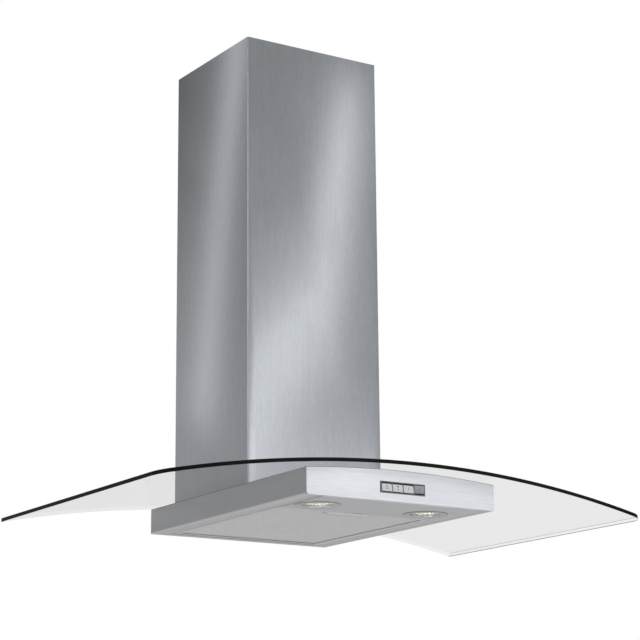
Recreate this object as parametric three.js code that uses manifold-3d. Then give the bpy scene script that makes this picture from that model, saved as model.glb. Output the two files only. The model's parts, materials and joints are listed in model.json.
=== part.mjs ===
// A wall-mounted cooker hood: a curved glass canopy over a slim steel body, with a telescopic
// chimney, a hinged grease filter, two lamps, four rocker keys and a double-inlet blower.
// Millimetres. X points to the right, Y towards the wall, Z up. The model is built with its
// underside at zero height and is lowered at the end, so that the origin is the middle of the
// wall rail's back face.
import * as THREE from 'three';
import { mergeVertices } from 'three/addons/utils/BufferGeometryUtils.js';
import Module from 'manifold-3d';

const wasm = await Module();
wasm.setup();

// ---------------------------------------------------------------- driving dimensions
const glassWidth = 900;
const glassDepth = 547; // wall to the middle of the front edge
const glassFrontBow = 10;
const glassThickness = 6;
const glassDroop = 48; // from the middle of the width down to the side edges
const glassCornerRadius = 20;
const glassRise = 49; // underside of the glass at mid width, above the hood's underside

const wallGap = 2; // body and glass stand this far off the wall
const bodyWidth = 352;
const bodyDepth = 495; // wall to the front corners
const panelBow = 3;
const panelSheet = 1.2;
const panelCornerRadius = 5;
const sheet = 1;
const flangeWidth = 32; // underside flange along each side
const flangeLip = 9;
const flangeBend = 2.5;
const backFlange = 18;

const chimneyWidth = 261;
const chimneyDepth = 246;
const chimneyTop = 825; // retracted, above the hood's underside
const chimneyLip = 12;
const chimneyBend = 1.5;
const upperLength = 420;
const upperClearance = 0.5;

const boxSideRoom = 12.5; // blower box to the outside of the chimney
const boxFrontRoom = 14;
const boxBack = 8;
const boxTop = 306;
const throatBorder = 26; // flange of the blower box beside the air opening
const throatFrontBorder = 32;
const railHeight = 255; // middle of the wall rail above the hood's underside

const impellerRadius = 75;
const impellerLength = 136;
const bladeDepth = 14;
const bladeCount = 24;
const blowerZ = 175;
const blowerRoom = 3.75; // scroll rim to the back of the blower box
const scrollHalfWidth = 76;
const scrollGap = 6; // impeller to scroll at the tongue
const scrollGrowth = 31;
const scrollWall = 1.5;
const scrollRim = 5;
const inletOverlap = 3; // scroll's inlet reaches this far over the blades
const motorRoom = 19; // motor to the blades
const shaftRadius = 4.2;

const collarSetback = 88; // front of the blower box to the middle of the duct
const collarRadius = 75; // outside, for a 150 mm duct
const collarHeight = 45;
const collarWall = 2;
const flapPinRadius = 1.5;

const lampSide = 74.5; // middle of a lamp to the side of the body
const lampSetback = 85; // middle of a lamp to the front corners
const lampRingRadius = 37;
const lampLensRadius = 26;
const lampHole = 31.5;
const lampSides = 24; // facets round a lamp

const keyCount = 4;
const keyPitch = 20.1;
const keyHeight = 14;
const keyGap = 0.3; // between a key and its window
const keyTilt = 9; // degrees each side of level
const keyPivotDepth = 3.5;
const switchX = -2.4;
const switchZ = 21.5;
const bezelBar = 1.4;
const bezelEnd = 1.3; // beyond the outer bars
const bezelEdge = 0.6; // above and below the keys' travel

const filterSetback = 132; // front of the filter to the front corners
const filterHeight = 9;
const filterBorder = 7;
const filterTurnY = -(wallGap + backFlange); // hinge line of the filter's rear tabs
const handleWidth = 92;
const handleDepth = 25;
const handleSetback = 19.5; // middle of the handle to the front of the filter
const latchWidth = 62;
const latchTravel = 6;

const fitGap = 0.3; // between pieces that touch

// ---------------------------------------------------------------- sizes that follow from these
const halfBody = bodyWidth / 2;
const boxWidth = chimneyWidth - 2 * boxSideRoom;
const halfBox = boxWidth / 2;
const boxFront = chimneyDepth - boxFrontRoom;
const throatWidth = boxWidth - 2 * throatBorder; // air opening through deck, glass and blower box
const throatFront = boxFront - throatFrontBorder;
const throatBack = boxBack + throatFrontBorder;
const scrollRear = impellerRadius + scrollGap + scrollGrowth / 4 + scrollWall + scrollRim;
const blowerY = -(boxBack + sheet + blowerRoom + scrollRear);
const inletRadius = impellerRadius - bladeDepth - inletOverlap;
const motorRadius = impellerRadius - bladeDepth - motorRoom;
const collarY = -(boxFront - collarSetback);
const lampX = halfBody - lampSide;
const lampY = -(bodyDepth - lampSetback);
const keyWidth = keyPitch - bezelBar - 2 * keyGap;
const bezelWidth = keyCount * keyPitch + 2 * bezelEnd;
const bezelHeight = keyHeight + 2 * (bezelBar + bezelEdge);
const filterFront = bodyDepth - filterSetback;
const handleY = -(filterFront - handleSetback);

// ---------------------------------------------------------------- outlines and solids
function solidOf(geometry) {
  geometry.deleteAttribute('normal');
  geometry.deleteAttribute('uv');
  const merged = mergeVertices(geometry, 1e-4);
  const corners = merged.index.array;
  const kept = [];
  for (let i = 0; i < corners.length; i += 3) {
    const [a, b, c] = [corners[i], corners[i + 1], corners[i + 2]];
    if (a !== b && b !== c && c !== a) kept.push(a, b, c);
  }
  return new wasm.Manifold(new wasm.Mesh({
    numProp: 3,
    vertProperties: merged.attributes.position.array,
    triVerts: new Uint32Array(kept),
  }));
}

function join(...solids) {
  return solids.reduce((sum, solid) => sum.add(solid));
}

function cut(solid, ...tools) {
  return tools.reduce((left, tool) => left.subtract(tool), solid);
}

// Rounds each inner corner of a line of points to a bend.
function rounded(points, radius, steps = 3) {
  const result = [points[0]];
  for (let i = 1; i < points.length - 1; i++) {
    const corner = new THREE.Vector2(...points[i]);
    const before = new THREE.Vector2(...points[i - 1]).sub(corner).normalize();
    const after = new THREE.Vector2(...points[i + 1]).sub(corner).normalize();
    const halfAngle = before.angleTo(after) / 2;
    const setback = radius / Math.tan(halfAngle);
    const middle = before.clone().add(after).normalize();
    const centre = corner.clone().addScaledVector(middle, radius / Math.sin(halfAngle));
    const start = corner.clone().addScaledVector(before, setback).sub(centre);
    const end = corner.clone().addScaledVector(after, setback).sub(centre);
    const sweep = Math.atan2(start.cross(end), start.dot(end));
    for (let k = 0; k <= steps; k++) {
      const point = start.clone().rotateAround(new THREE.Vector2(), sweep * k / steps).add(centre);
      result.push([point.x, point.y]);
    }
  }
  result.push(points[points.length - 1]);
  return result;
}

function outline(points) {
  return new THREE.Shape(points.map(([a, b]) => new THREE.Vector2(a, b)));
}

// The section of a folded sheet whose middle follows the points.
function strip(points, thickness) {
  const left = [];
  const right = [];
  for (let i = 0; i < points.length; i++) {
    const here = new THREE.Vector2(...points[i]);
    const previous = new THREE.Vector2(...points[Math.max(i - 1, 0)]);
    const next = new THREE.Vector2(...points[Math.min(i + 1, points.length - 1)]);
    const into = (i > 0 ? here.clone().sub(previous) : next.clone().sub(here)).normalize();
    const out = (i < points.length - 1 ? next.clone().sub(here) : into.clone()).normalize();
    const across = new THREE.Vector2(-into.y - out.y, into.x + out.x).normalize();
    const reach = thickness / 2 / across.dot(new THREE.Vector2(-into.y, into.x));
    left.push([here.x + across.x * reach, here.y + across.y * reach]);
    right.unshift([here.x - across.x * reach, here.y - across.y * reach]);
  }
  return outline([...left, ...right]);
}

function rectangle(low1, high1, low2, high2) {
  return outline([[low1, low2], [high1, low2], [high1, high2], [low1, high2]]);
}

function roundedRectangle(low1, high1, low2, high2, radius, steps = 3) {
  const middle = (low1 + high1) / 2;
  const path = [
    [middle, low2], [high1, low2], [high1, high2], [low1, high2], [low1, low2], [middle, low2],
  ];
  return outline(rounded(path, radius, steps).slice(0, -1));
}

function disc(centre1, centre2, radius, sides = 24) {
  const points = [];
  for (let i = 0; i < sides; i++) {
    const angle = 2 * Math.PI * i / sides;
    points.push([centre1 + radius * Math.cos(angle), centre2 + radius * Math.sin(angle)]);
  }
  return outline(points);
}

const xAxis = new THREE.Vector3(1, 0, 0);
const yAxis = new THREE.Vector3(0, 1, 0);
const zAxis = new THREE.Vector3(0, 0, 1);
// An outline for x is drawn in (y, z), for y in (x, z), and for z in (x, y).
const outlineFrames = {
  x: new THREE.Matrix4().makeBasis(yAxis, zAxis, xAxis),
  y: new THREE.Matrix4().makeBasis(xAxis, zAxis, yAxis.clone().negate()),
  z: new THREE.Matrix4(),
};

function prism(axis, shape, from, to) {
  const low = Math.min(from, to);
  const high = Math.max(from, to);
  const geometry = new THREE.ExtrudeGeometry(shape, { depth: high - low, bevelEnabled: false, steps: 1 });
  geometry.translate(0, 0, axis === 'y' ? -high : low);
  geometry.applyMatrix4(outlineFrames[axis]);
  return solidOf(geometry);
}

function block(x0, x1, y0, y1, z0, z1) {
  const geometry = new THREE.BoxGeometry(Math.abs(x1 - x0), Math.abs(y1 - y0), Math.abs(z1 - z0));
  geometry.translate((x0 + x1) / 2, (y0 + y1) / 2, (z0 + z1) / 2);
  return solidOf(geometry);
}

function rod(axis, centre1, centre2, radius, from, to, sides = 24) {
  return prism(axis, disc(centre1, centre2, radius, sides), from, to);
}

// A turned piece: its profile lists [radius, height along the axis] and closes on itself.
function turned(axis, centre, profile, sides = 32) {
  let area = 0;
  profile.forEach(([r, h], i) => {
    const [r2, h2] = profile[(i + 1) % profile.length];
    area += r * h2 - r2 * h;
  });
  const ordered = area > 0 ? [...profile] : [...profile].reverse();
  ordered.push(ordered[0]);
  const geometry = new THREE.LatheGeometry(ordered.map(([r, h]) => new THREE.Vector2(r, h)), sides);
  if (axis === 'z') geometry.rotateX(Math.PI / 2);
  if (axis === 'x') geometry.rotateZ(-Math.PI / 2);
  geometry.translate(...centre);
  return solidOf(geometry);
}

// ---------------------------------------------------------------- the glass's curve
const halfGlass = glassWidth / 2;
const curveRadius = (glassDroop ** 2 + halfGlass ** 2) / (2 * glassDroop);
const curveCentreZ = glassRise - curveRadius;

// Height above the hood's underside of the arc that runs above the underside of the glass.
function arcHeight(x, above = 0) {
  return curveCentreZ + Math.sqrt((curveRadius + above) ** 2 - x ** 2);
}

// Everything between two arcs that run parallel to the glass.
function arcBand(lower, upper, halfWidth, front, back, steps = 12) {
  const top = [];
  const bottom = [];
  for (let i = 0; i <= steps; i++) {
    const x = halfWidth * (2 * i / steps - 1);
    top.unshift([x, arcHeight(x, upper)]);
    bottom.push([x, arcHeight(x, lower)]);
  }
  return prism('y', outline([...bottom, ...top]), -front, -back);
}

const farUp = 60;
// The space above an arc, to trim what meets the glass from below.
function aboveArc(clearance) {
  return arcBand(-clearance, farUp, bodyWidth / 2 + 5, bodyDepth + 30, -5);
}

// ---------------------------------------------------------------- materials and pieces
function finish(color, roughness, metalness, extra = {}) {
  return new THREE.MeshStandardMaterial({ color, roughness, metalness, ...extra });
}

const brushedSteel = finish(0xb9bcbf, 0.35, 1);
const panelSteel = finish(0xd9dce0, 0.3, 1);
const zincSteel = finish(0xa9adb0, 0.5, 0.9);
const springSteel = finish(0x8f9296, 0.3, 1);
const aluminium = finish(0xb4b6b8, 0.45, 0.9);
const clearGlass = finish(0xdfe9e4, 0.05, 0, { transparent: true, opacity: 0.3 });
const lampGlass = finish(0xfff3d8, 0.2, 0, { transparent: true, opacity: 0.6 });
const darkPlastic = finish(0x2a2c2e, 0.6, 0);
const greyPlastic = finish(0x8a8d90, 0.5, 0);
const lightPlastic = finish(0xc9cbd2, 0.45, 0);
const keyPlastic = finish(0xcfd2d4, 0.4, 0.2);
const foam = finish(0x3a3a3a, 0.95, 0);
const motorPaint = finish(0x55585b, 0.5, 0.6);
const ceramic = finish(0xe9e5da, 0.5, 0);

const hood = new THREE.Group();

function addPiece(name, solid, material) {
  const mesh = solid.getMesh();
  const geometry = new THREE.BufferGeometry();
  geometry.setAttribute('position', new THREE.BufferAttribute(mesh.vertProperties, 3));
  geometry.setIndex(new THREE.BufferAttribute(mesh.triVerts, 1));
  const flat = geometry.toNonIndexed();
  flat.computeVertexNormals();
  const piece = new THREE.Mesh(flat, material);
  piece.name = name;
  hood.add(piece);
}

const sides = [['left', -1], ['right', 1]];

// ---------------------------------------------------------------- steel body
const lipX = halfBody - flangeWidth;
const casingFront = bodyDepth - panelSheet - fitGap;
const deckDrop = 2; // room for the gasket between deck and glass

const halfThroat = throatWidth / 2;
const screwX = halfThroat + 14;
const screwYs = [['front', -(throatFront - 20)], ['rear', -(throatBack + 20)]];
const screwRadius = 2.3;
const screwHole = 2.7;

function screwHoles(radius) {
  const holes = [];
  for (const side of [-1, 1]) {
    for (const [, y] of screwYs) holes.push(rod('z', side * screwX, y, radius, 0, boxTop / 2, 8));
  }
  return join(...holes);
}

function throat(low, high) {
  return block(-halfThroat, halfThroat, -throatFront, -throatBack, low, high);
}

const fixingX = halfBody - 35; // lower wall screws
const fixingZ = 28;
const fixingRadius = 3;

function casing() {
  const walls = [];
  for (const side of [-1, 1]) {
    const profile = rounded([
      [side * lipX, flangeLip],
      [side * lipX, sheet / 2],
      [side * (halfBody - sheet / 2), sheet / 2],
      [side * (halfBody - sheet / 2), farUp],
    ], flangeBend);
    walls.push(prism('y', strip(profile, sheet), -casingFront, -wallGap));
    const returnWidth = 14;
    walls.push(block(
      side * halfBody, side * (halfBody - returnWidth),
      -casingFront, -(casingFront - sheet), sheet / 2, farUp,
    ));
  }
  const back = block(-halfBody + sheet / 2, halfBody - sheet / 2, -wallGap - sheet, -wallGap, 0, farUp);
  const backEdge = block(-lipX, lipX, filterTurnY, -wallGap, 0, sheet);
  const deckWidth = halfBody - sheet / 2;
  const deck = arcBand(-deckDrop - sheet, -deckDrop, deckWidth, casingFront - 10, wallGap);
  const fixingHoles = [-1, 1].map((side) => rod(
    'y', side * fixingX, fixingZ, fixingRadius, 0, -wallGap - 5, 8,
  ));
  const shell = cut(join(...walls, back, backEdge), aboveArc(0.5));
  return cut(join(shell, deck), throat(0, farUp), screwHoles(screwHole), ...fixingHoles);
}

const panelReturn = 8; // folded back under the front panel

// Plan line of the front panel's face, bowed forwards by panelBow.
function panelFaceY(x, inwards = 0) {
  return -(bodyDepth - inwards + panelBow * (1 - (x / halfBody) ** 2));
}

function panelPlan(inFront, behind) {
  const steps = 14;
  const front = [];
  const back = [];
  for (let i = 0; i <= steps; i++) {
    const x = halfBody * (2 * i / steps - 1);
    front.push([x, inFront(x)]);
    back.unshift([x, behind(x)]);
  }
  return outline([...front, ...back]);
}

// Bowed face, a foot that covers the casing's front edge, and a fold between the casing's flanges.
function frontPanel() {
  const cutterFront = -(bodyDepth + panelBow + 5);
  const returnBack = -(bodyDepth - panelReturn);
  const face = prism('z', panelPlan((x) => panelFaceY(x), (x) => panelFaceY(x, panelSheet)), 0, farUp);
  const footBack = -(casingFront + fitGap);
  const foot = prism('z', panelPlan((x) => panelFaceY(x), () => footBack), 0, panelSheet);
  const foldHalf = lipX - 1;
  const fold = block(-foldHalf, foldHalf, footBack - panelSheet / 2, returnBack, 0, panelSheet);
  const elevation = roundedRectangle(-halfBody, halfBody, 0, 2 * farUp, panelCornerRadius, 4);
  const rounding = prism('y', elevation, cutterFront, returnBack + 1);
  const bezelRest = 1; // width of panel that the bezel's lip covers
  const window = prism('y', rectangle(
    switchX - bezelWidth / 2 + bezelRest, switchX + bezelWidth / 2 - bezelRest,
    switchZ - bezelHeight / 2 + bezelRest, switchZ + bezelHeight / 2 - bezelRest,
  ), cutterFront, -(bodyDepth - 5));
  return cut(join(face, foot, fold).intersect(rounding), aboveArc(0.5), window);
}

const panelGap = 0.7; // visible gap round the light panel and the filter
const lightHalf = lipX - sheet / 2 - panelGap;
const lightRear = filterFront + panelGap;
const lightFront = bodyDepth - panelReturn - fitGap;
const lightLip = 8;
const notchHalf = 10;
const notchDepth = 6;

function lightPanel() {
  const outer = block(-lightHalf, lightHalf, -lightFront, -lightRear, 0, lightLip);
  const inner = block(
    -lightHalf + sheet, lightHalf - sheet, -lightFront + sheet, -lightRear - sheet, sheet, lightLip + 1,
  );
  const holes = [-1, 1].map((side) => rod('z', side * lampX, lampY, lampHole, -1, 5, lampSides));
  const notch = block(-notchHalf, notchHalf, -lightRear - notchDepth, -lightRear + 1, -1, lightLip + 1);
  return cut(outer, inner, notch, ...holes);
}

addPiece('body_casing', casing(), brushedSteel);
addPiece('front_panel', frontPanel(), panelSteel);
addPiece('light_panel', lightPanel(), brushedSteel);

// ---------------------------------------------------------------- glass canopy and its seals
function glassPlan() {
  const steps = 16;
  const cornerY = -(glassDepth - glassFrontBow);
  const straightHalf = halfGlass - glassCornerRadius;
  const points = [[-halfGlass, -wallGap]];
  for (let k = 0; k <= 5; k++) {
    const angle = Math.PI + Math.PI / 2 * k / 5;
    points.push([
      -straightHalf + glassCornerRadius * Math.cos(angle),
      cornerY + glassCornerRadius + glassCornerRadius * Math.sin(angle),
    ]);
  }
  for (let i = 1; i < steps; i++) {
    const x = straightHalf * (2 * i / steps - 1);
    points.push([x, cornerY - glassFrontBow * (1 - (x / straightHalf) ** 2)]);
  }
  const mirrored = points.filter(([x]) => x < -straightHalf + 0.001).reverse();
  return outline([...points, ...mirrored.map(([x, y]) => [-x, y])]);
}

const bushHole = 5;

function glassCanopy() {
  const curved = arcBand(0, glassThickness, halfGlass + 10, glassDepth + 5, -5, 40);
  const plan = prism('z', glassPlan(), -farUp, 2 * farUp);
  return cut(curved.intersect(plan), throat(0, 2 * farUp), screwHoles(bushHole));
}

function glassGasket() {
  const outer = arcBand(-deckDrop + fitGap, -fitGap, halfBox, boxFront, boxBack);
  return cut(outer, throat(0, farUp), screwHoles(screwHole));
}

addPiece('glass_canopy', glassCanopy(), clearGlass);
addPiece('glass_gasket', glassGasket(), foam);

// ---------------------------------------------------------------- chimney
const sealHeight = 1.4;
const chimneyFoot = glassThickness + sealHeight + 2 * fitGap;

// Plan section of a chimney cover: a front, two sides and two narrow returns at the back.
function coverSection(width, front, back, lip, thickness, bend) {
  const half = width / 2 - thickness / 2;
  const inner = width / 2 - lip;
  return strip(rounded([
    [-inner, -back - thickness / 2],
    [-half, -back - thickness / 2],
    [-half, -front + thickness / 2],
    [half, -front + thickness / 2],
    [half, -back - thickness / 2],
    [inner, -back - thickness / 2],
  ], bend), thickness);
}

function belowArc(above) {
  return arcBand(-2 * farUp, above, halfGlass, glassDepth, -5, 40);
}

function lowerChimney() {
  const section = coverSection(chimneyWidth, chimneyDepth, sheet, chimneyLip, sheet, chimneyBend);
  return cut(prism('z', section, 0, chimneyTop), belowArc(chimneyFoot));
}

function chimneySeal() {
  const thickness = 3;
  const grow = (thickness - sheet) / 2;
  const section = coverSection(
    chimneyWidth + 2 * grow - 1, chimneyDepth + grow - 0.5, fitGap, chimneyLip + 2, thickness, chimneyBend,
  );
  const sealFoot = glassThickness + fitGap;
  const layer = arcBand(sealFoot, sealFoot + sealHeight, halfBody, 2 * boxFront, 0);
  return prism('z', section, 0, 2 * farUp).intersect(layer);
}

const upperWidth = chimneyWidth - 2 * (sheet + upperClearance);
const upperFront = chimneyDepth - sheet - upperClearance;
const upperBack = 2 * sheet + upperClearance + fitGap;
const upperTop = chimneyTop - 1;
const upperBottom = upperTop - upperLength;
const bracketScrewZ = upperTop - 24;
const bracketScrewY = -48;

function upperChimney() {
  const section = coverSection(upperWidth, upperFront, upperBack, chimneyLip, sheet, chimneyBend);
  const slots = [];
  const slotLength = 50;
  const slotHeight = 5;
  for (let column = 0; column < 3; column++) {
    for (let row = 0; row < 4; row++) {
      const y = -upperFront * (0.25 + 0.25 * column);
      const z = upperBottom + 50 + row * 13;
      slots.push(block(
        -upperWidth, upperWidth, y - slotLength / 2, y + slotLength / 2, z, z + slotHeight,
      ));
    }
  }
  const screwBore = rod('x', bracketScrewY, bracketScrewZ, 4.3, -upperWidth, upperWidth, 12);
  return cut(prism('z', section, upperBottom, upperTop), ...slots, screwBore);
}

const bracketSheet = 2;
const bracketHeight = 34;
const bracketSlotX = 70;
const bracketEarDepth = 14; // of the ear, forward of its screw
const bracketStep = 24; // ears start this far off the wall
const wallSlotLength = 24;

// Long hole for a wall screw.
function wallSlot(x, z, width) {
  const half = wallSlotLength / 2;
  const rise = width / 2;
  return prism('y', roundedRectangle(x - half, x + half, z - rise, z + rise, rise - 0.1), -5, 5);
}

// Wall bracket with two forward ears that hold the top of the upper chimney.
function chimneyBracket() {
  const earX = upperWidth / 2 - sheet - fitGap - bracketSheet / 2;
  const plateX = upperWidth / 2 - chimneyLip - 8;
  const section = strip(rounded([
    [-earX, bracketScrewY - bracketEarDepth],
    [-earX, -bracketStep],
    [-plateX, -bracketStep],
    [-plateX, -bracketSheet / 2],
    [plateX, -bracketSheet / 2],
    [plateX, -bracketStep],
    [earX, -bracketStep],
    [earX, bracketScrewY - bracketEarDepth],
  ], 3), bracketSheet);
  const body = prism('z', section, bracketScrewZ - bracketHeight / 2, bracketScrewZ + bracketHeight / 2);
  const screwBore = rod('x', bracketScrewY, bracketScrewZ, 2.6, -upperWidth, upperWidth, 8);
  const wallSlots = [-1, 1].map((side) => wallSlot(side * bracketSlotX, bracketScrewZ, 7));
  return cut(body, screwBore, ...wallSlots);
}

// Countersunk screw, flush with the outside of the upper chimney.
function bracketScrew(side) {
  const outside = upperWidth / 2 - 0.2;
  const profile = [
    [0, outside], [4, outside], [4, outside - sheet - fitGap + 0.2],
    [2.3, outside - sheet - fitGap + 0.2], [2.3, outside - 14], [1.5, outside - 16], [0, outside - 16],
  ];
  return turned('x', [0, bracketScrewY, bracketScrewZ], profile.map(([r, h]) => [r, side * h]), 12);
}

addPiece('chimney_seal', chimneySeal(), foam);
addPiece('lower_chimney', lowerChimney(), brushedSteel);
addPiece('upper_chimney', upperChimney(), brushedSteel);
addPiece('chimney_bracket', chimneyBracket(), zincSteel);
for (const [name, side] of sides) addPiece('bracket_screw_' + name, bracketScrew(side), zincSteel);

// ---------------------------------------------------------------- blower box and wall rail
const boxFlange = 1.5;
const boxFootArc = glassThickness + fitGap;
const boxBend = 1.5;
const boxReturn = 12; // rear folds of the box's sides
const boxReturnBack = boxBack + sheet + fitGap;
const boxLidRim = 8;
const boxRimGap = 0.5; // lid's rim to the walls
const boxWallTop = boxTop - sheet - fitGap;
const hookX = halfBox - 26;
const hookWidth = 20;
const hookThickness = 2.5;
const hookReach = boxBack + sheet + 6;
const hookRoom = 2; // hook to each side of its slot
const hookSlotHeight = 15;
const slotTop = railHeight + 6;
const railSheet = 2;
const railHeightSpan = 44;
const railSlotX = 45;
const railEdge = 6; // forward folds of the rail's edges

// Flange at the box's foot that lies along the glass.
function footFlange(halfWidth, front, back) {
  const column = block(-halfWidth, halfWidth, -front, -back, 0, 2 * farUp);
  return cut(column.intersect(belowArc(boxFootArc + boxFlange)), belowArc(boxFootArc));
}

// Front and sides in one folded sheet. Its flange is clamped to the glass by the screws.
function blowerBox() {
  const section = coverSection(boxWidth, boxFront, boxReturnBack, boxReturn, sheet, boxBend);
  const walls = cut(prism('z', section, 0, boxWallTop), belowArc(boxFootArc));
  const flange = footFlange(halfBox - sheet / 2, boxFront - sheet / 2, boxReturnBack + sheet / 2);
  const open = block(-halfThroat, halfThroat, -throatFront, 0, 0, 2 * farUp);
  return cut(join(walls, flange), open, screwHoles(screwHole));
}

// Rear plate with the slots for the rail's hooks, folded forward at its foot.
function boxBackPlate() {
  const whole = block(-halfBox, halfBox, -boxBack - sheet, -boxBack, 0, boxWallTop);
  const plate = cut(whole, belowArc(boxFootArc));
  const fold = footFlange(halfThroat - fitGap, throatBack, boxBack + sheet / 2);
  const hookSlots = [-1, 1].map((side) => block(
    side * hookX - hookWidth / 2 - hookRoom, side * hookX + hookWidth / 2 + hookRoom,
    -boxBack - 5, -boxBack + 5, slotTop - hookSlotHeight, slotTop,
  ));
  return cut(join(plate, fold), ...hookSlots);
}

// Lid with a down-turned rim inside the walls, open below the collar.
function boxLid() {
  const plate = block(-halfBox, halfBox, -boxFront, -boxBack, boxTop - sheet, boxTop);
  const rimBlock = (inset) => block(
    -halfBox + inset, halfBox - inset, -boxFront + inset, -boxReturnBack - inset,
    boxTop - sheet - boxLidRim, boxTop - sheet / 2,
  );
  const rim = cut(rimBlock(sheet + boxRimGap), rimBlock(2 * sheet + boxRimGap));
  const outlet = rod('z', 0, collarY, collarRadius - collarWall - 2, boxTop - 5, boxTop + 5, 28);
  return cut(join(plate, rim), outlet);
}

// Hanging rail: a stiffened plate with two upturned hooks.
function wallRail() {
  const plateHalf = halfBox - 6;
  const low = railHeight - railHeightSpan / 2;
  const high = railHeight + railHeightSpan / 2;
  const middle = -railSheet / 2;
  const section = strip([
    [-railEdge, low + railSheet / 2],
    [middle, low + railSheet / 2],
    [middle, high - railSheet / 2],
    [-railEdge, high - railSheet / 2],
  ], railSheet);
  const plate = prism('x', section, -plateHalf, plateHalf);
  const hookTop = slotTop - fitGap;
  const hooks = [-1, 1].map((side) => prism('x', strip([
    [-railSheet / 2, hookTop - hookThickness / 2],
    [-hookReach, hookTop - hookThickness / 2],
    [-hookReach, hookTop + 7],
  ], hookThickness), side * hookX - hookWidth / 2, side * hookX + hookWidth / 2));
  const wallSlots = [-1, 1].map((side) => wallSlot(side * railSlotX, railHeight, 8));
  return cut(join(plate, ...hooks), ...wallSlots);
}

const clipSheet = 1.2;
const clipBottom = 68;
const clipLeg = 22;
const clipStep = 6;
const clipFront = 140;
const clipWidth = 40;

// Z-shaped clip that holds the foot of the lower chimney off the blower box.
function chimneyClip(side) {
  const inner = halfBox + fitGap + clipSheet / 2;
  const outer = chimneyWidth / 2 - sheet - fitGap - clipSheet / 2;
  const kneeLow = clipBottom + clipLeg;
  const kneeHigh = kneeLow + clipStep;
  const section = strip([
    [side * inner, kneeHigh + clipLeg],
    [side * inner, kneeHigh],
    [side * outer, kneeLow],
    [side * outer, clipBottom],
  ], clipSheet);
  return prism('y', section, -clipFront, -(clipFront - clipWidth));
}

const headRadius = 4.5;
const headHeight = 3;
const nutHeight = 4;

// Pan-head screw through flange, glass and deck, with its nut below.
function clampScrew(x, y) {
  const headUnder = arcHeight(screwX - headRadius, boxFootArc + boxFlange) + fitGap;
  const nutTop = arcHeight(screwX + headRadius, -deckDrop - sheet) - fitGap;
  const nutBottom = nutTop - nutHeight;
  return turned('z', [x, y, 0], [
    [0, headUnder + headHeight], [headRadius - 1.5, headUnder + headHeight],
    [headRadius, headUnder + headHeight / 2], [headRadius, headUnder],
    [screwRadius, headUnder], [screwRadius, nutTop], [headRadius, nutTop], [headRadius, nutBottom],
    [screwRadius, nutBottom], [screwRadius, nutBottom - 2], [0, nutBottom - 2],
  ], 8);
}

addPiece('blower_box', blowerBox(), zincSteel);
addPiece('blower_box_back', boxBackPlate(), zincSteel);
addPiece('blower_box_lid', boxLid(), zincSteel);
addPiece('wall_rail', wallRail(), zincSteel);
for (const [name, side] of sides) {
  addPiece('chimney_clip_' + name, chimneyClip(side), springSteel);
  for (const [where, y] of screwYs) {
    addPiece('clamp_screw_' + where + '_' + name, clampScrew(side * screwX, y), zincSteel);
  }
}

// ---------------------------------------------------------------- blower
const tongueAngle = Math.PI / 3;
const scrollTurn = Math.PI + tongueAngle;
const outletTop = boxTop - sheet - fitGap;

// Side view of the scroll: a widening spiral that ends in an upward outlet.
function scrollOutline(offset, top) {
  const steps = 18;
  const points = [];
  for (let i = 0; i <= steps; i++) {
    const radius = impellerRadius + scrollGap + scrollGrowth * i / steps + offset;
    const angle = tongueAngle - scrollTurn * i / steps;
    points.push([blowerY + radius * Math.cos(angle), blowerZ + radius * Math.sin(angle)]);
  }
  points.push([points[steps][0], top]);
  points.push([points[0][0], top]);
  return outline(points);
}

function scrollHalf(side) {
  const seam = fitGap / 2;
  const flange = 2;
  const shell = prism('x', scrollOutline(scrollWall, outletTop), side * seam, side * scrollHalfWidth);
  const rimOutline = scrollOutline(scrollWall + scrollRim, outletTop);
  const rim = prism('x', rimOutline, side * seam, side * (seam + flange));
  const inside = prism('x', scrollOutline(0, outletTop + 5), -side, side * (scrollHalfWidth - scrollWall));
  const mouth = turned('x', [0, blowerY, blowerZ], [
    [inletRadius, scrollHalfWidth - scrollWall], [inletRadius + 5, scrollHalfWidth - scrollWall],
    [inletRadius + 4, scrollHalfWidth + 4], [inletRadius, scrollHalfWidth + 4],
  ].map(([r, h]) => [r, side * h]), 24);
  const eyeFrom = side * (scrollHalfWidth - 10);
  const eyeTo = side * (scrollHalfWidth + 10);
  const eye = rod('x', blowerY, blowerZ, inletRadius, eyeFrom, eyeTo, 24);
  return join(cut(join(shell, rim), inside, eye), mouth);
}

const motorFace = scrollHalfWidth + 4;
const guardPlane = scrollHalfWidth + 4 + fitGap;
const guardThickness = 2;

// Rings and spokes over the left inlet.
function inletGuard() {
  const ringRadii = [16, 36];
  const wire = 2;
  const outerRing = [inletRadius - 1, inletRadius + 4];
  const rings = ringRadii.map((radius) => [radius, radius + wire]);
  rings.push(outerRing);
  const solids = rings.map(([inner, outer]) => turned('x', [0, blowerY, blowerZ], [
    [inner, -guardPlane], [outer, -guardPlane],
    [outer, -guardPlane - guardThickness], [inner, -guardPlane - guardThickness],
  ], 18));
  return join(...solids, ...spokes(6, ringRadii[0] + wire / 2, inletRadius, wire, -guardPlane));
}

function spokes(count, from, to, width, plane) {
  const result = [];
  for (let i = 0; i < count; i++) {
    const angle = 2 * Math.PI * (i + 0.5) / count;
    const along = [Math.cos(angle), Math.sin(angle)];
    const across = [-along[1] * width / 2, along[0] * width / 2];
    const corners = [[from, -1], [to, -1], [to, 1], [from, 1]].map(([r, s]) => [
      blowerY + along[0] * r + across[0] * s,
      blowerZ + along[1] * r + across[1] * s,
    ]);
    result.push(prism('x', outline(corners), plane, plane + Math.sign(plane) * guardThickness));
  }
  return result;
}

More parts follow.
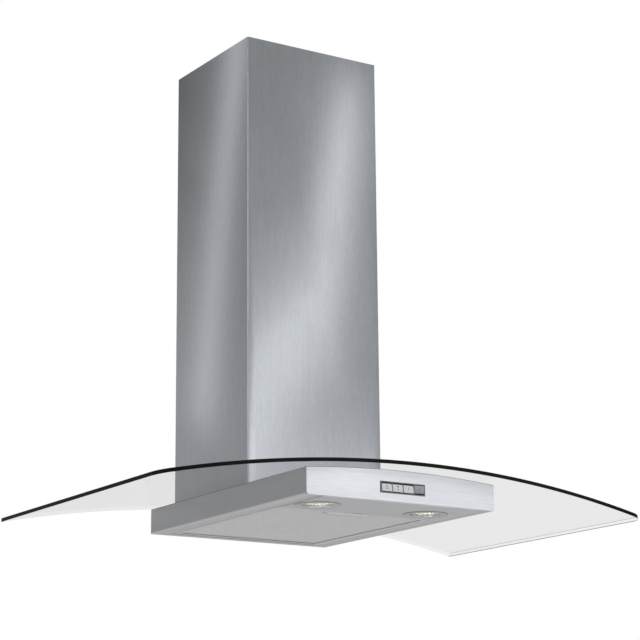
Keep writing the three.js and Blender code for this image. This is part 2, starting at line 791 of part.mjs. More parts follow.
// Three-armed spider that carries the motor in the right inlet.
function motorMount() {
  const ring = turned('x', [0, blowerY, blowerZ], [
    [inletRadius - 1, guardPlane], [inletRadius + 4, guardPlane],
    [inletRadius + 4, guardPlane + guardThickness], [inletRadius - 1, guardPlane + guardThickness],
  ], 24);
  const hub = rod('x', blowerY, blowerZ, 24, guardPlane, guardPlane + guardThickness, 16);
  return join(ring, hub, ...spokes(3, 18, inletRadius, 14, guardPlane));
}

const motorStart = 14;
const shaftBore = shaftRadius + fitGap;

function fanMotor() {
  return turned('x', [0, blowerY, blowerZ], [
    [shaftBore, motorStart], [13, motorStart], [13, motorStart + 5], [motorRadius - 6, motorStart + 5],
    [motorRadius, motorStart + 11], [motorRadius, motorFace - 12], [motorRadius - 6, motorFace - 6],
    [16, motorFace - 6], [16, motorFace], [0, motorFace], [0, motorStart + 30], [shaftBore, motorStart + 30],
  ], 20);
}

function motorShaft() {
  return rod('x', blowerY, blowerZ, shaftRadius, -16, motorStart + 29, 12);
}

// Double-width fan wheel: hub disc, forward-curved blades and two end rings.
function impeller() {
  const halfLength = impellerLength / 2;
  const innerRadius = impellerRadius - bladeDepth;
  const wheel = turned('x', [0, blowerY, blowerZ], [
    [shaftBore, -14], [12, -14], [12, -1.5], [impellerRadius, -1.5], [impellerRadius, 1.5],
    [12, 1.5], [12, 10], [shaftBore, 10],
  ], 24);
  const ends = [-1, 1].map((side) => turned('x', [0, blowerY, blowerZ], [
    [innerRadius, side * halfLength], [impellerRadius, side * halfLength],
    [impellerRadius, side * (halfLength - 2)], [innerRadius, side * (halfLength - 2)],
  ], 24));
  const blades = [];
  for (let i = 0; i < bladeCount; i++) {
    const start = 2 * Math.PI * i / bladeCount;
    const curve = [
      [innerRadius + 0.5, 0],
      [innerRadius + bladeDepth / 2, 0.03],
      [impellerRadius - 0.7, 0.11],
    ];
    const points = curve.map(([radius, lead]) => [
      blowerY + radius * Math.cos(start - lead),
      blowerZ + radius * Math.sin(start - lead),
    ]);
    blades.push(prism('x', strip(points, 1), -halfLength + 1, halfLength - 1));
  }
  return join(wheel, ...ends, ...blades);
}

for (const [name, side] of sides) addPiece('blower_scroll_' + name, scrollHalf(side), darkPlastic);
addPiece('inlet_guard', inletGuard(), greyPlastic);
addPiece('motor_mount', motorMount(), zincSteel);
addPiece('fan_motor', fanMotor(), motorPaint);
addPiece('motor_shaft', motorShaft(), springSteel);
addPiece('impeller', impeller(), greyPlastic);

// ---------------------------------------------------------------- outlet collar and flaps
const collarFoot = boxTop + fitGap;
const pinZ = collarFoot + 18;
const flapThickness = 1.2;
const flapRadius = collarRadius - collarWall - 1.5;
const knuckleRadius = 3;
const knuckleBore = flapPinRadius + fitGap;

function outletCollar() {
  const inner = collarRadius - collarWall;
  const seatTop = pinZ - flapThickness / 2 - 0.5;
  const body = turned('z', [0, collarY, 0], [
    [inner - 3, collarFoot], [collarRadius + 13, collarFoot], [collarRadius + 13, collarFoot + 1.8],
    [collarRadius, collarFoot + 1.8], [collarRadius, collarFoot + collarHeight],
    [inner, collarFoot + collarHeight], [inner, seatTop], [inner - 3, seatTop],
  ], 32);
  const pinHole = rod('y', 0, pinZ, knuckleBore, collarY - 90, collarY + 90, 10);
  return cut(body, pinHole);
}

function flapPin() {
  const reach = collarRadius - 0.5;
  return rod('y', 0, pinZ, flapPinRadius, collarY - reach, collarY + reach, 10);
}

// Half-round flap with two knuckles on the pin; the other flap's knuckles fill its gaps.
function flap(side) {
  const plate = rod('z', 0, collarY, flapRadius, pinZ - flapThickness / 2, pinZ + flapThickness / 2, 32);
  const otherHalf = block(
    -side * 100, side * (knuckleRadius + 1), collarY - 100, collarY + 100, pinZ - 10, pinZ + 10,
  );
  const knuckleLength = 16;
  const knuckleStep = knuckleLength + 6;
  const reach = collarRadius - 15;
  const last = reach - 2 - knuckleLength;
  const starts = side < 0 ? [-reach, last - knuckleStep] : [knuckleStep - reach, last];
  const knuckles = starts.map((start) => {
    const from = collarY + start;
    const barrel = rod('y', 0, pinZ, knuckleRadius, from, from + knuckleLength, 10);
    const web = block(
      0, side * (knuckleRadius + 2), from, from + knuckleLength,
      pinZ - flapThickness / 2, pinZ + flapThickness / 2,
    );
    return join(barrel, web);
  });
  const bore = rod('y', 0, pinZ, knuckleBore, collarY - 90, collarY + 90, 10);
  return cut(join(cut(plate, otherHalf), ...knuckles), bore);
}

addPiece('outlet_collar', outletCollar(), darkPlastic);
addPiece('flap_pin', flapPin(), springSteel);
for (const [name, side] of sides) addPiece('flap_' + name, flap(side), greyPlastic);

// ---------------------------------------------------------------- electrics above and below deck
const boxPartZ = boxTop + fitGap; // pieces that stand on the blower box
const capacitorX = halfBox - 30;
const capacitorY = -34;
const capacitorRadius = 14;
const capacitorHeight = 48;
const wiringHalf = capacitorX - capacitorRadius - 19;
const wiringFront = 51;
const wiringBack = 12;
const wiringHeight = 36;
const wiringWall = 2;
const glandY = -(wiringFront + wiringBack) / 2 + 0.5;
const glandZ = boxPartZ + wiringHeight / 2;
const glandBore = 3.5;
const glandNeck = 6.2;
const glandHole = 6.5;
const glandNut = 9;

function wiringBox() {
  const shell = block(-wiringHalf, wiringHalf, -wiringFront, -wiringBack, boxPartZ, boxPartZ + wiringHeight);
  const hollow = block(
    -wiringHalf + wiringWall, wiringHalf - wiringWall, -wiringFront + wiringWall, -wiringBack - wiringWall,
    boxPartZ + wiringWall, boxPartZ + wiringHeight + 1,
  );
  const glandOpening = rod('x', glandY, glandZ, glandHole, -wiringHalf - 5, -wiringHalf + 5, 16);
  return cut(shell, hollow, glandOpening);
}

// Flat lid with a rib that fits inside the box.
function wiringBoxLid() {
  const under = boxPartZ + wiringHeight + fitGap;
  const ribDepth = 4;
  const overhang = 1;
  const inset = wiringWall + 1;
  const plate = block(
    -wiringHalf - overhang, wiringHalf + overhang,
    -wiringFront - overhang, -wiringBack + overhang,
    under, under + 2,
  );
  const rib = (grow) => block(
    -wiringHalf + inset + grow, wiringHalf - inset - grow,
    -wiringFront + inset + grow, -wiringBack - inset - grow,
    under - ribDepth - grow, under,
  );
  return join(plate, cut(rib(0), rib(wiringWall)));
}

// Cable entry of the wiring box.
function cableGland() {
  const outside = -wiringHalf - fitGap;
  const inside = -wiringHalf + 8;
  return turned('x', [0, glandY, glandZ], [
    [glandBore, inside], [glandNeck, inside], [glandNeck, outside], [glandNut, outside],
    [glandNut, outside - 4.7], [glandNut - 1.5, outside - 6.7], [glandNut - 1.5, outside - 12.7],
    [glandBore + 1.5, outside - 15.7], [glandBore, outside - 15.7],
  ], 12);
}

function capacitor() {
  const spigot = 5;
  return turned('z', [capacitorX, capacitorY, boxPartZ], [
    [0, 0], [capacitorRadius, 0],
    [capacitorRadius, capacitorHeight - 2], [capacitorRadius - 2, capacitorHeight],
    [spigot, capacitorHeight], [spigot, capacitorHeight + 4], [0, capacitorHeight + 4],
  ], 16);
}

const transformerHalf = 45;
const transformerEarHalf = 56;
const transformerFront = bodyDepth - 43;
const transformerDepth = 40;
const transformerHeight = 22;

// Lamp transformer, hung under the deck by two ears that follow its curve.
function lampTransformer() {
  const top = arcHeight(transformerHalf, -deckDrop - sheet) - fitGap;
  const earTop = arcHeight(transformerEarHalf, -deckDrop - sheet) - fitGap;
  const bottom = top - transformerHeight;
  const back = -(transformerFront - transformerDepth);
  const body = block(-transformerHalf, transformerHalf, -transformerFront, back, bottom, earTop);
  const ears = block(
    -transformerEarHalf, transformerEarHalf, -transformerFront + 12, back - 12, earTop - 2.5, earTop,
  );
  const core = block(-30, 30, -transformerFront + 4, back - 4, bottom - 3, bottom + 1);
  return join(body, ears, core);
}

addPiece('wiring_box', wiringBox(), darkPlastic);
addPiece('wiring_box_lid', wiringBoxLid(), darkPlastic);
addPiece('cable_gland', cableGland(), darkPlastic);
addPiece('capacitor', capacitor(), lightPlastic);
addPiece('lamp_transformer', lampTransformer(), lightPlastic);

// ---------------------------------------------------------------- lamps
const ringUnder = -1.3;
const lensUnder = 0.8;
const lensThickness = 2.5;
const neckOuter = lampHole - 0.6;
const neckInner = neckOuter - 1.4;
const reflectorFoot = lensUnder + lensThickness + fitGap;
const reflectorTop = 28;

function lampBezel(x) {
  return turned('z', [x, lampY, 0], [
    [lampRingRadius, -fitGap], [lampRingRadius - 0.6, ringUnder], [lampRingRadius - 4, ringUnder - 0.2],
    [lampLensRadius, 0], [lampLensRadius, lensUnder - fitGap], [neckInner, lensUnder - fitGap],
    [neckInner, 12], [neckOuter, 12], [neckOuter, -fitGap],
  ], lampSides);
}

function lampLens(x) {
  const radius = neckInner - fitGap;
  return turned('z', [x, lampY, 0], [
    [0, lensUnder - 0.6], [lampLensRadius - 2, lensUnder - 0.6], [lampLensRadius - fitGap, lensUnder],
    [radius, lensUnder], [radius, lensUnder + lensThickness], [0, lensUnder + lensThickness],
  ], lampSides);
}

function lampReflector(x) {
  const rim = neckInner - fitGap;
  const neck = 8.4;
  const height = reflectorTop - reflectorFoot;
  const steps = 4;
  const inner = [];
  const outer = [];
  for (let i = 0; i <= steps; i++) {
    const rise = i / steps;
    const radius = rim - 1 - (rim - 1 - neck) * rise ** 2.2;
    inner.push([radius, reflectorFoot + height * rise]);
    outer.unshift([radius + 1, reflectorFoot + height * rise]);
  }
  return turned('z', [x, lampY, 0], [...inner, ...outer], 20);
}

// Halogen capsule on its ceramic base.
function lampBulb(x) {
  const base = reflectorTop + fitGap;
  return turned('z', [x, lampY, 0], [
    [0, 12], [2.5, 12.8], [4, 15], [4.5, 18], [4.5, base],
    [9, base], [9, base + 9], [6, base + 11], [0, base + 11],
  ], 12);
}

for (const [name, side] of sides) {
  addPiece('lamp_bezel_' + name, lampBezel(side * lampX), brushedSteel);
  addPiece('lamp_lens_' + name, lampLens(side * lampX), lampGlass);
  addPiece('lamp_reflector_' + name, lampReflector(side * lampX), aluminium);
  addPiece('lamp_bulb_' + name, lampBulb(side * lampX), ceramic);
}

// ---------------------------------------------------------------- rocker keys
const panelMiddle = -(bodyDepth + panelBow);
const bezelFront = panelMiddle - fitGap - 0.8;
const bezelBack = panelMiddle + 10;
const keyFace = panelMiddle - 1.6; // middle of a key's face
const pivotY = keyFace + keyPivotDepth;
const pivotPin = 1;
const pivotHole = pivotPin + fitGap;

function switchBezel() {
  const bezelLip = 1.6;
  const halfWidth = bezelWidth / 2;
  const halfHeight = bezelHeight / 2;
  const lip = block(
    switchX - halfWidth, switchX + halfWidth, bezelFront, bezelFront + 0.8,
    switchZ - halfHeight, switchZ + halfHeight,
  );
  const body = block(
    switchX - halfWidth + bezelLip, switchX + halfWidth - bezelLip, bezelFront, bezelBack,
    switchZ - halfHeight + bezelLip - 0.3, switchZ + halfHeight - bezelLip + 0.3,
  );
  const windows = keyCentres().map((x) => block(
    x - keyPitch / 2 + bezelBar / 2, x + keyPitch / 2 - bezelBar / 2, bezelFront - 5, bezelBack + 5,
    switchZ - halfHeight + bezelBar, switchZ + halfHeight - bezelBar,
  ));
  const bore = rod('x', pivotY, switchZ, pivotHole, switchX - halfWidth + 1, switchX + halfWidth - 1, 8);
  return cut(join(lip, body), ...windows, bore);
}

function keyCentres() {
  return Array.from({ length: keyCount }, (_, i) => switchX + keyPitch * (i - (keyCount - 1) / 2));
}

// Rocker key: rounded face, narrow heel behind it, and a trunnion at each end.
function rockerKey(x) {
  const half = keyHeight / 2;
  const faceBulge = 0.8;
  const face = [];
  for (let i = 0; i <= 6; i++) {
    const t = 2 * i / 6 - 1;
    face.push([-keyPivotDepth + faceBulge * t ** 2, half * t]);
  }
  const profile = outline([...face, [2, half * 0.72], [4.5, 2.5], [4.5, -2.5], [2, -half * 0.72]]);
  const body = prism('x', profile, -keyWidth / 2, keyWidth / 2);
  const reach = keyWidth / 2 + 0.65;
  const trunnion = rod('x', 0, 0, pivotPin, -reach, reach, 8);
  return join(body, trunnion);
}

// The block of switches behind the bezel, with a row of terminals.
function switchBlock() {
  const front = bezelBack + fitGap;
  const half = keyPitch * keyCount / 2;
  const halfHeight = keyHeight / 2 + 1;
  const body = block(
    switchX - half, switchX + half, front, front + 22, switchZ - halfHeight, switchZ + halfHeight,
  );
  const tabs = keyCentres().flatMap((x) => [-4, 4].map((dx) => block(
    x + dx - 0.4, x + dx + 0.4, front + 22 - 1, front + 30, switchZ - 3, switchZ + 3,
  )));
  return join(body, ...tabs);
}

addPiece('switch_bezel', switchBezel(), greyPlastic);
addPiece('switch_block', switchBlock(), darkPlastic);
keyCentres().forEach((x, i) => {
  const tiltedDown = i === keyCount - 1;
  addPiece('rocker_key_' + (i + 1), rockerKey(x), keyPlastic);
  const key = hood.children[hood.children.length - 1];
  key.position.set(x, pivotY, switchZ);
  key.rotation.x = THREE.MathUtils.degToRad(tiltedDown ? keyTilt : -keyTilt);
});

// ---------------------------------------------------------------- grease filter
const filterHalf = lipX - sheet / 2 - 1;
const filterRear = -filterTurnY + 2;
const filterUnder = 0.5;
const filterTop = filterUnder + filterHeight;
const tabUnder = sheet + fitGap;
const handleHalf = handleWidth / 2;
const handleFront = handleY - handleDepth / 2;
const handleBack = handleY + handleDepth / 2;
const tongueHalf = 9;
const tongueLow = 4;
const tongueHigh = 6;
const tongueInset = 2; // tip of the drawn-back tongue behind the frame's front
const tongueTip = -(filterFront - tongueInset + latchTravel);

function handleOutline(grow) {
  const endRadius = handleDepth / 2 + grow - 0.1;
  return roundedRectangle(
    -handleHalf - grow, handleHalf + grow, handleFront - grow, handleBack + grow, endRadius, 5,
  );
}

function filterFrame() {
  const outer = block(-filterHalf, filterHalf, -filterFront, -filterRear, filterUnder, filterTop);
  const open = block(
    -filterHalf + filterBorder, filterHalf - filterBorder,
    -filterFront + filterBorder, -filterRear - filterBorder, -5, filterTop + 5,
  );
  const channel = block(
    -filterHalf + sheet, filterHalf - sheet, -filterFront + sheet, -filterRear - sheet,
    filterUnder + sheet, filterTop - sheet,
  );
  const tongueSlot = block(-tongueHalf - 0.5, tongueHalf + 0.5, -filterFront - 5, -filterFront + 5, 3.2, 6.8);
  const tabs = [-1, 1].map((side) => block(
    side * 95, side * 75, -filterRear - 1, filterTurnY + 6, tabUnder, tabUnder + 1.2,
  ));
  return join(cut(outer, open, channel, tongueSlot), ...tabs);
}

// Perforated sheet of the filter, with rows of diamond gaps, left plain round the handle.
function filterSheet(low, thickness, columns, rows, shrink) {
  const half = filterHalf - sheet - fitGap;
  const front = -filterFront + sheet + fitGap;
  const back = -filterRear - sheet - fitGap;
  const pitchX = 2 * (half - filterBorder) / columns;
  const pitchY = (back - front - 2 * filterBorder) / rows;
  const plate = rectangle(-half, half, front, back);
  for (let row = 0; row < rows; row++) {
    const shift = row % 2 ? 0.25 : -0.25;
    for (let column = 0; column < columns; column++) {
      const x = -half + filterBorder + pitchX * (column + 0.5 + shift);
      const y = front + filterBorder + pitchY * (row + 0.5);
      const reachX = pitchX * shrink / 2;
      const reachY = pitchY * shrink;
      const nearHandle = Math.abs(x) < handleHalf + reachX + 2 && y < handleBack + reachY + 2;
      if (nearHandle) continue;
      plate.holes.push(new THREE.Path([[x - reachX, y], [x, y - reachY], [x + reachX, y], [x, y + reachY]]
        .map(([a, b]) => new THREE.Vector2(a, b))));
    }
  }
  const handleGap = prism('z', handleOutline(fitGap), -5, filterTop + 5);
  return cut(prism('z', plate, low, low + thickness), handleGap);
}

const cupWall = 1.2;
const cupTop = filterTop - 0.5;

// Finger pocket of the filter, with a slot for the latch tongue in its front wall.
function filterHandle() {
  const cup = prism('z', handleOutline(0), 0.2, cupTop);
  const pocket = prism('z', handleOutline(-cupWall), -1, cupTop - cupWall);
  const rimPlate = prism('z', handleOutline(2), 0.2, filterUnder + sheet);
  const rim = cut(rimPlate, prism('z', handleOutline(-cupWall), -1, 5));
  const slot = block(-tongueHalf - 0.5, tongueHalf + 0.5, handleFront - 5, handleFront + 3, 3.2, 6.8);
  const borderBack = -filterFront + filterBorder + fitGap;
  const frameClear = block(-handleHalf, handleHalf, -filterFront - 2, borderBack, -1, 20);
  return cut(join(cut(cup, pocket), rim), slot, frameClear);
}

function filterLatch() {
  const front = handleFront + cupWall + fitGap;
  const slider = block(-latchWidth / 2, latchWidth / 2, front, front + 9, 1.2, cupTop - cupWall - fitGap);
  const grip = block(-latchWidth / 2 + 3, latchWidth / 2 - 3, front + 3, front + 6.5, 0, 3);
  const tongue = block(-tongueHalf, tongueHalf, tongueTip, front + 1, tongueLow, tongueHigh);
  const eye = rod('z', 22.4, front + 4.5, 1.6, 0, 4.5, 12);
  return cut(join(cut(slider, grip), tongue), eye);
}

// Spring-steel strip in the light panel's notch, which the latch tongue snaps over.
function filterCatch() {
  const thickness = 0.5;
  const low = sheet + fitGap + thickness / 2;
  const crest = tongueLow - fitGap - thickness / 2;
  const rear = -lightRear;
  return prism('x', strip([
    [rear - 18, low], [rear - notchDepth - 1, low],
    [rear - 2.6, crest], [rear - 1.2, crest], [rear - 0.6, crest - 1.6],
  ], thickness), -notchHalf + 1.5, notchHalf - 1.5);
}

class Helix extends THREE.Curve {
  constructor(start, length, radius, turns) {
    super();
    Object.assign(this, { start, length, radius, turns });
  }

  getPoint(t, target = new THREE.Vector3()) {
    const angle = 2 * Math.PI * this.turns * t;
    return target.set(
      this.start.x + this.radius * Math.cos(angle),
      this.start.y + this.length * t,
      this.start.z + this.radius * Math.sin(angle),
    );
  }
}

function latchSpring() {
  const wire = 0.35;
  const coilRadius = 1.7;
  const turns = 5;
  const front = handleFront + cupWall + fitGap + 9 + fitGap + wire;
  const back = handleBack - cupWall - fitGap - wire;
  const start = new THREE.Vector3(0, front, (tongueLow + tongueHigh) / 2 - 0.6);
  const path = new Helix(start, back - front, coilRadius, turns);
  const section = outline(Array.from({ length: 5 }, (_, i) => [
    wire * Math.cos(2 * Math.PI * i / 5), wire * Math.sin(2 * Math.PI * i / 5),
  ]));
  const steps = turns * 8;
  const geometry = new THREE.ExtrudeGeometry(section, { steps, bevelEnabled: false, extrudePath: path });
  return solidOf(geometry);
}

addPiece('filter_frame', filterFrame(), aluminium);
addPiece('filter_mesh_lower', filterSheet(filterUnder + sheet + fitGap, 0.8, 8, 14, 0.62), aluminium);
addPiece('filter_mesh_upper', filterSheet(filterTop - sheet - fitGap - 0.8, 0.8, 4, 7, 0.62), aluminium);
addPiece('filter_handle', filterHandle(), greyPlastic);
addPiece('filter_latch', filterLatch(), lightPlastic);
addPiece('latch_spring', latchSpring(), springSteel);
addPiece('filter_catch', filterCatch(), springSteel);

hood.position.z = -railHeight;

export default hood;
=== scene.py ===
"""Looks of a wall-mounted cooker hood with a curved glass canopy.

Metres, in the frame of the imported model: X to the right, Y towards the wall, Z up, and the origin in
the middle of the wall rail's back face. Fine meshes replace the pieces whose form shows most. The
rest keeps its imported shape, with smoothed bends and softened edges. Every surface has a procedural
material.
"""

import json
import math

import bmesh
import bpy
from mathutils import Matrix, Vector


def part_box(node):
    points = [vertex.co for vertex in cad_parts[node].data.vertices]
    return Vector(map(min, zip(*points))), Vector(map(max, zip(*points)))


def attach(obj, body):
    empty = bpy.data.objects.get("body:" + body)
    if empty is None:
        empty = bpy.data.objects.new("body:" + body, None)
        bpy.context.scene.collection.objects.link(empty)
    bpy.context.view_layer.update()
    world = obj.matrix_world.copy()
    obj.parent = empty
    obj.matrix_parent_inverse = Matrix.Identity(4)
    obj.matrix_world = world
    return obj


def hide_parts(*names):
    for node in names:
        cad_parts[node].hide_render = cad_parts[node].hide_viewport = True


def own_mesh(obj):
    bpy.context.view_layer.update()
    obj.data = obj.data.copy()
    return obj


MM = 0.001

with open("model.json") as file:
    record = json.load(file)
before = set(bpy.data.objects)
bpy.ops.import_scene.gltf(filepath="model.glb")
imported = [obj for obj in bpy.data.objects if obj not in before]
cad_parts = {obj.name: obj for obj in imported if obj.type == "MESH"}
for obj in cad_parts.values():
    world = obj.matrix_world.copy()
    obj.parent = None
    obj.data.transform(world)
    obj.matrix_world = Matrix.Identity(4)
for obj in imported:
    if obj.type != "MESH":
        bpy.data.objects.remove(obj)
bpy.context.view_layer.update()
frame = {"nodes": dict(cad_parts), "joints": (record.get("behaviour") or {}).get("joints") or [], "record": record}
nodes = frame["nodes"]

# ---------------------------------------------------------------- camera
PHOTO_SIDE = 640  # pixels
SENSOR = 36.0  # millimetres
FOCAL_PIXELS = 2037.304
CAMERA_PLACE = Vector((-1.791622, -3.043721, -0.739152))
CAMERA_YAW = 0.57235064  # to the right of +Y
CAMERA_PITCH = 0.244146046  # above the horizon
CAMERA_ROLL = -0.00870729


def add_camera():
    forward = Vector((
        math.sin(CAMERA_YAW) * math.cos(CAMERA_PITCH),
        math.cos(CAMERA_YAW) * math.cos(CAMERA_PITCH),
        math.sin(CAMERA_PITCH),
    ))
    level = Vector((math.cos(CAMERA_YAW), -math.sin(CAMERA_YAW), 0.0))
    upright = level.cross(forward)
    right = math.cos(CAMERA_ROLL) * level + math.sin(CAMERA_ROLL) * upright
    up = -math.sin(CAMERA_ROLL) * level + math.cos(CAMERA_ROLL) * upright
    data = bpy.data.cameras.new("camera")
    data.sensor_width = SENSOR
    data.lens = FOCAL_PIXELS / PHOTO_SIDE * SENSOR
    data.clip_end = 50.0
    camera = bpy.data.objects.new("camera", data)
    turn = Matrix((right, up, -forward)).transposed().to_4x4()
    camera.matrix_world = Matrix.Translation(CAMERA_PLACE) @ turn
    bpy.context.scene.collection.objects.link(camera)
    bpy.context.scene.camera = camera


# ---------------------------------------------------------------- shader building
class Shader:
    """One material with a Principled shader, and short calls for the nodes that feed it."""

    def __init__(self, name, **sockets):
        self.material = bpy.data.materials.new(name)
        self.material.use_nodes = True
        self.tree = self.material.node_tree
        self.surface = self.tree.nodes["Principled BSDF"]
        for socket, value in sockets.items():
            self.surface.inputs[socket.replace("_", " ")].default_value = value
        self.coordinates = self.add("ShaderNodeTexCoord").outputs["Object"]

    def add(self, kind, **settings):
        node = self.tree.nodes.new(kind)
        for key, value in settings.items():
            setattr(node, key, value)
        return node

    def feed(self, value, socket):
        if isinstance(value, (int, float, tuple)):
            socket.default_value = value
        else:
            self.tree.links.new(value, socket)

    def drive(self, value, name):
        self.feed(value, self.surface.inputs[name])

    def tint(self, share, colour, darkest, lightest):
        """Drives the base colour between two shades of one colour."""
        self.drive(self.blend(share, shade(colour, darkest), shade(colour, lightest)), "Base Color")

    def dull(self, share, smoothest, roughest):
        """Drives the roughness between two values."""
        self.drive(self.spread(share, smoothest, roughest), "Roughness")

    def noise(self, waves, detail=2.0, rough=0.5, distortion=0.0):
        """Noise from 0 to 1 with this many waves per metre: one number, or one each for X, Y and Z."""
        mapping = self.add("ShaderNodeMapping")
        mapping.inputs["Scale"].default_value = (waves,) * 3 if isinstance(waves, float) else waves
        self.feed(self.coordinates, mapping.inputs["Vector"])
        noise = self.add("ShaderNodeTexNoise")
        noise.inputs["Scale"].default_value = 1.0
        noise.inputs["Detail"].default_value = detail
        noise.inputs["Roughness"].default_value = rough
        noise.inputs["Distortion"].default_value = distortion
        self.feed(mapping.outputs[0], noise.inputs["Vector"])
        return noise.outputs[0]

    def cells(self, per_metre):
        voronoi = self.add("ShaderNodeTexVoronoi")
        voronoi.inputs["Scale"].default_value = per_metre
        self.feed(self.coordinates, voronoi.inputs["Vector"])
        return voronoi

    def spread(self, value, low, high, start=0.3, end=0.7):
        """Maps start..end of a value to low..high."""
        node = self.add("ShaderNodeMapRange")
        for name, number in (("From Min", start), ("From Max", end), ("To Min", low), ("To Max", high)):
            node.inputs[name].default_value = number
        self.feed(value, node.inputs["Value"])
        return node.outputs[0]

    def blend(self, share, first, second):
        """A colour between two others. The mixing node's colours are inputs 6 and 7 and output 2."""
        node = self.add("ShaderNodeMix", data_type="RGBA")
        self.feed(share, node.inputs[0])
        self.feed(first, node.inputs[6])
        self.feed(second, node.inputs[7])
        return node.outputs[2]

    def math(self, operation, first, second=0.0):
        node = self.add("ShaderNodeMath", operation=operation)
        self.feed(first, node.inputs[0])
        self.feed(second, node.inputs[1])
        return node.outputs[0]

    def weigh(self, first, second, share):
        """The first value times its share, plus the second times the rest."""
        rest = self.math("MULTIPLY", second, 1 - share)
        return self.math("ADD", self.math("MULTIPLY", first, share), rest)

    def bump(self, height, strength, depth):
        node = self.add("ShaderNodeBump")
        node.inputs["Strength"].default_value = strength
        node.inputs["Distance"].default_value = depth
        self.feed(height, node.inputs["Height"])
        self.drive(node.outputs[0], "Normal")


def shade(colour, factor):
    """A colour made lighter or darker, with its alpha."""
    return tuple(min(channel * factor, 1.0) for channel in colour) + (1.0,)


STREAK_WAVES = (14.0, 160.0)  # waves per metre along the brushing, and across it
SCRATCH_WAVES = (75.0, 420.0)


def grain_waves(waves, along, length):
    """Waves per metre on X, Y and Z of a grain that is drawn out along the given axes."""
    lengthwise, crosswise = waves
    return [lengthwise / length if axis in along else crosswise for axis in "XYZ"]


def brushed_steel(name, colour, roughness, along, contrast=0.05, length=1.0):
    """Steel brushed along the given axes: broad soft streaks, fine scratches and faint smears."""
    shader = Shader(name, Metallic=1.0, Anisotropic=0.15)
    streaks = shader.noise(grain_waves(STREAK_WAVES, along, length), detail=3.0, rough=0.6)
    scratches = shader.noise(grain_waves(SCRATCH_WAVES, along, length), detail=3.0)
    smears = shader.noise(7.0, detail=3.0, distortion=0.4)
    grain = shader.weigh(streaks, scratches, 0.4)
    tangent = shader.add("ShaderNodeTangent", direction_type="RADIAL", axis="Z")
    shader.drive(tangent.outputs[0], "Tangent")
    shader.tint(shader.spread(grain, 0.0, 1.0, 0.25, 0.75), colour, 1 - contrast, 1 + contrast)
    shader.dull(smears, roughness - 0.02, roughness + 0.02)
    shader.bump(grain, 0.05, 0.00002)
    return shader.material


def zinc_steel(name, colour):
    """Galvanised sheet: a faint pattern of crystals under a dull skin."""
    shader = Shader(name, Metallic=0.9)
    crystals = shader.cells(140.0).outputs["Color"]
    cloud = shader.noise(25.0, detail=3.0)
    tone = shader.weigh(crystals, cloud, 0.6)
    shader.tint(tone, colour, 0.82, 1.1)
    shader.dull(tone, 0.38, 0.55)
    shader.bump(cloud, 0.1, 0.0001)
    return shader.material


def smooth_metal(name, colour, roughness, waves=(300.0, 300.0, 40.0)):
    """Drawn or rolled metal with fine lines and a little dullness in patches."""
    shader = Shader(name, Metallic=1.0)
    lines = shader.noise(waves)
    patches = shader.noise(30.0)
    shader.tint(lines, colour, 0.92, 1.06)
    shader.dull(patches, roughness - 0.06, roughness + 0.08)
    shader.bump(lines, 0.08, 0.00005)
    return shader.material


def moulded_plastic(name, colour, roughness, grain=700.0):
    """Moulded plastic with a fine eroded grain and slight flow marks."""
    shader = Shader(name)
    texture = shader.noise(grain)
    flow = shader.noise(18.0, distortion=0.8)
    shader.tint(flow, colour, 0.93, 1.08)
    shader.dull(texture, roughness - 0.05, roughness + 0.07)
    shader.bump(texture, 0.25, 0.00005)
    return shader.material


def foam_rubber(name, colour):
    """Closed-cell foam: a matt skin with fine pores."""
    shader = Shader(name)
    pores = shader.cells(900.0).outputs["Distance"]
    cloud = shader.noise(60.0, detail=3.0)
    shader.tint(cloud, colour, 0.8, 1.3)
    shader.dull(cloud, 0.85, 0.97)
    shader.bump(pores, 0.5, 0.0003)
    return shader.material


def painted_metal(name, colour):
    """Stoved paint with a slight orange peel."""
    shader = Shader(name, Metallic=0.2)
    peel = shader.noise(420.0, detail=1.0)
    dust = shader.noise(40.0, detail=4.0)
    shader.tint(dust, colour, 0.85, 1.15)
    shader.dull(dust, 0.38, 0.5)
    shader.bump(peel, 0.2, 0.0001)
    return shader.material


def glazed_ceramic(name, colour):
    """Glazed ceramic with fine speckles."""
    shader = Shader(name, Coat_Weight=0.4)
    speckle = shader.noise(500.0, detail=3.0)
    shader.tint(speckle, colour, 0.93, 1.03)
    shader.dull(speckle, 0.25, 0.4)
    return shader.material


def clear_glass(name):
    """Clear sheet glass: nearly see-through face on, and more of a mirror towards grazing views."""
    shader = Shader(name, Base_Color=(0.04, 0.055, 0.05, 1.0), IOR=1.5)
    fresnel = shader.add("ShaderNodeFresnel")
    fresnel.inputs["IOR"].default_value = 1.5
    smears = shader.noise((12.0, 5.0, 12.0), detail=3.0, distortion=0.5)
    shader.drive(shader.spread(fresnel.outputs[0], 0.02, 0.17, 0.04, 0.75), "Alpha")
    shader.dull(smears, 0.02, 0.05)
    return shader.material


DARK_FOOT = 1 * MM  # lowest part of both side edges, which stays dark
FOOT_BLUR = 0.2 * MM  # half the height over which the dark foot fades
INSIDE_CLEARNESS = 0.91  # of an edge that is seen from within the sheet


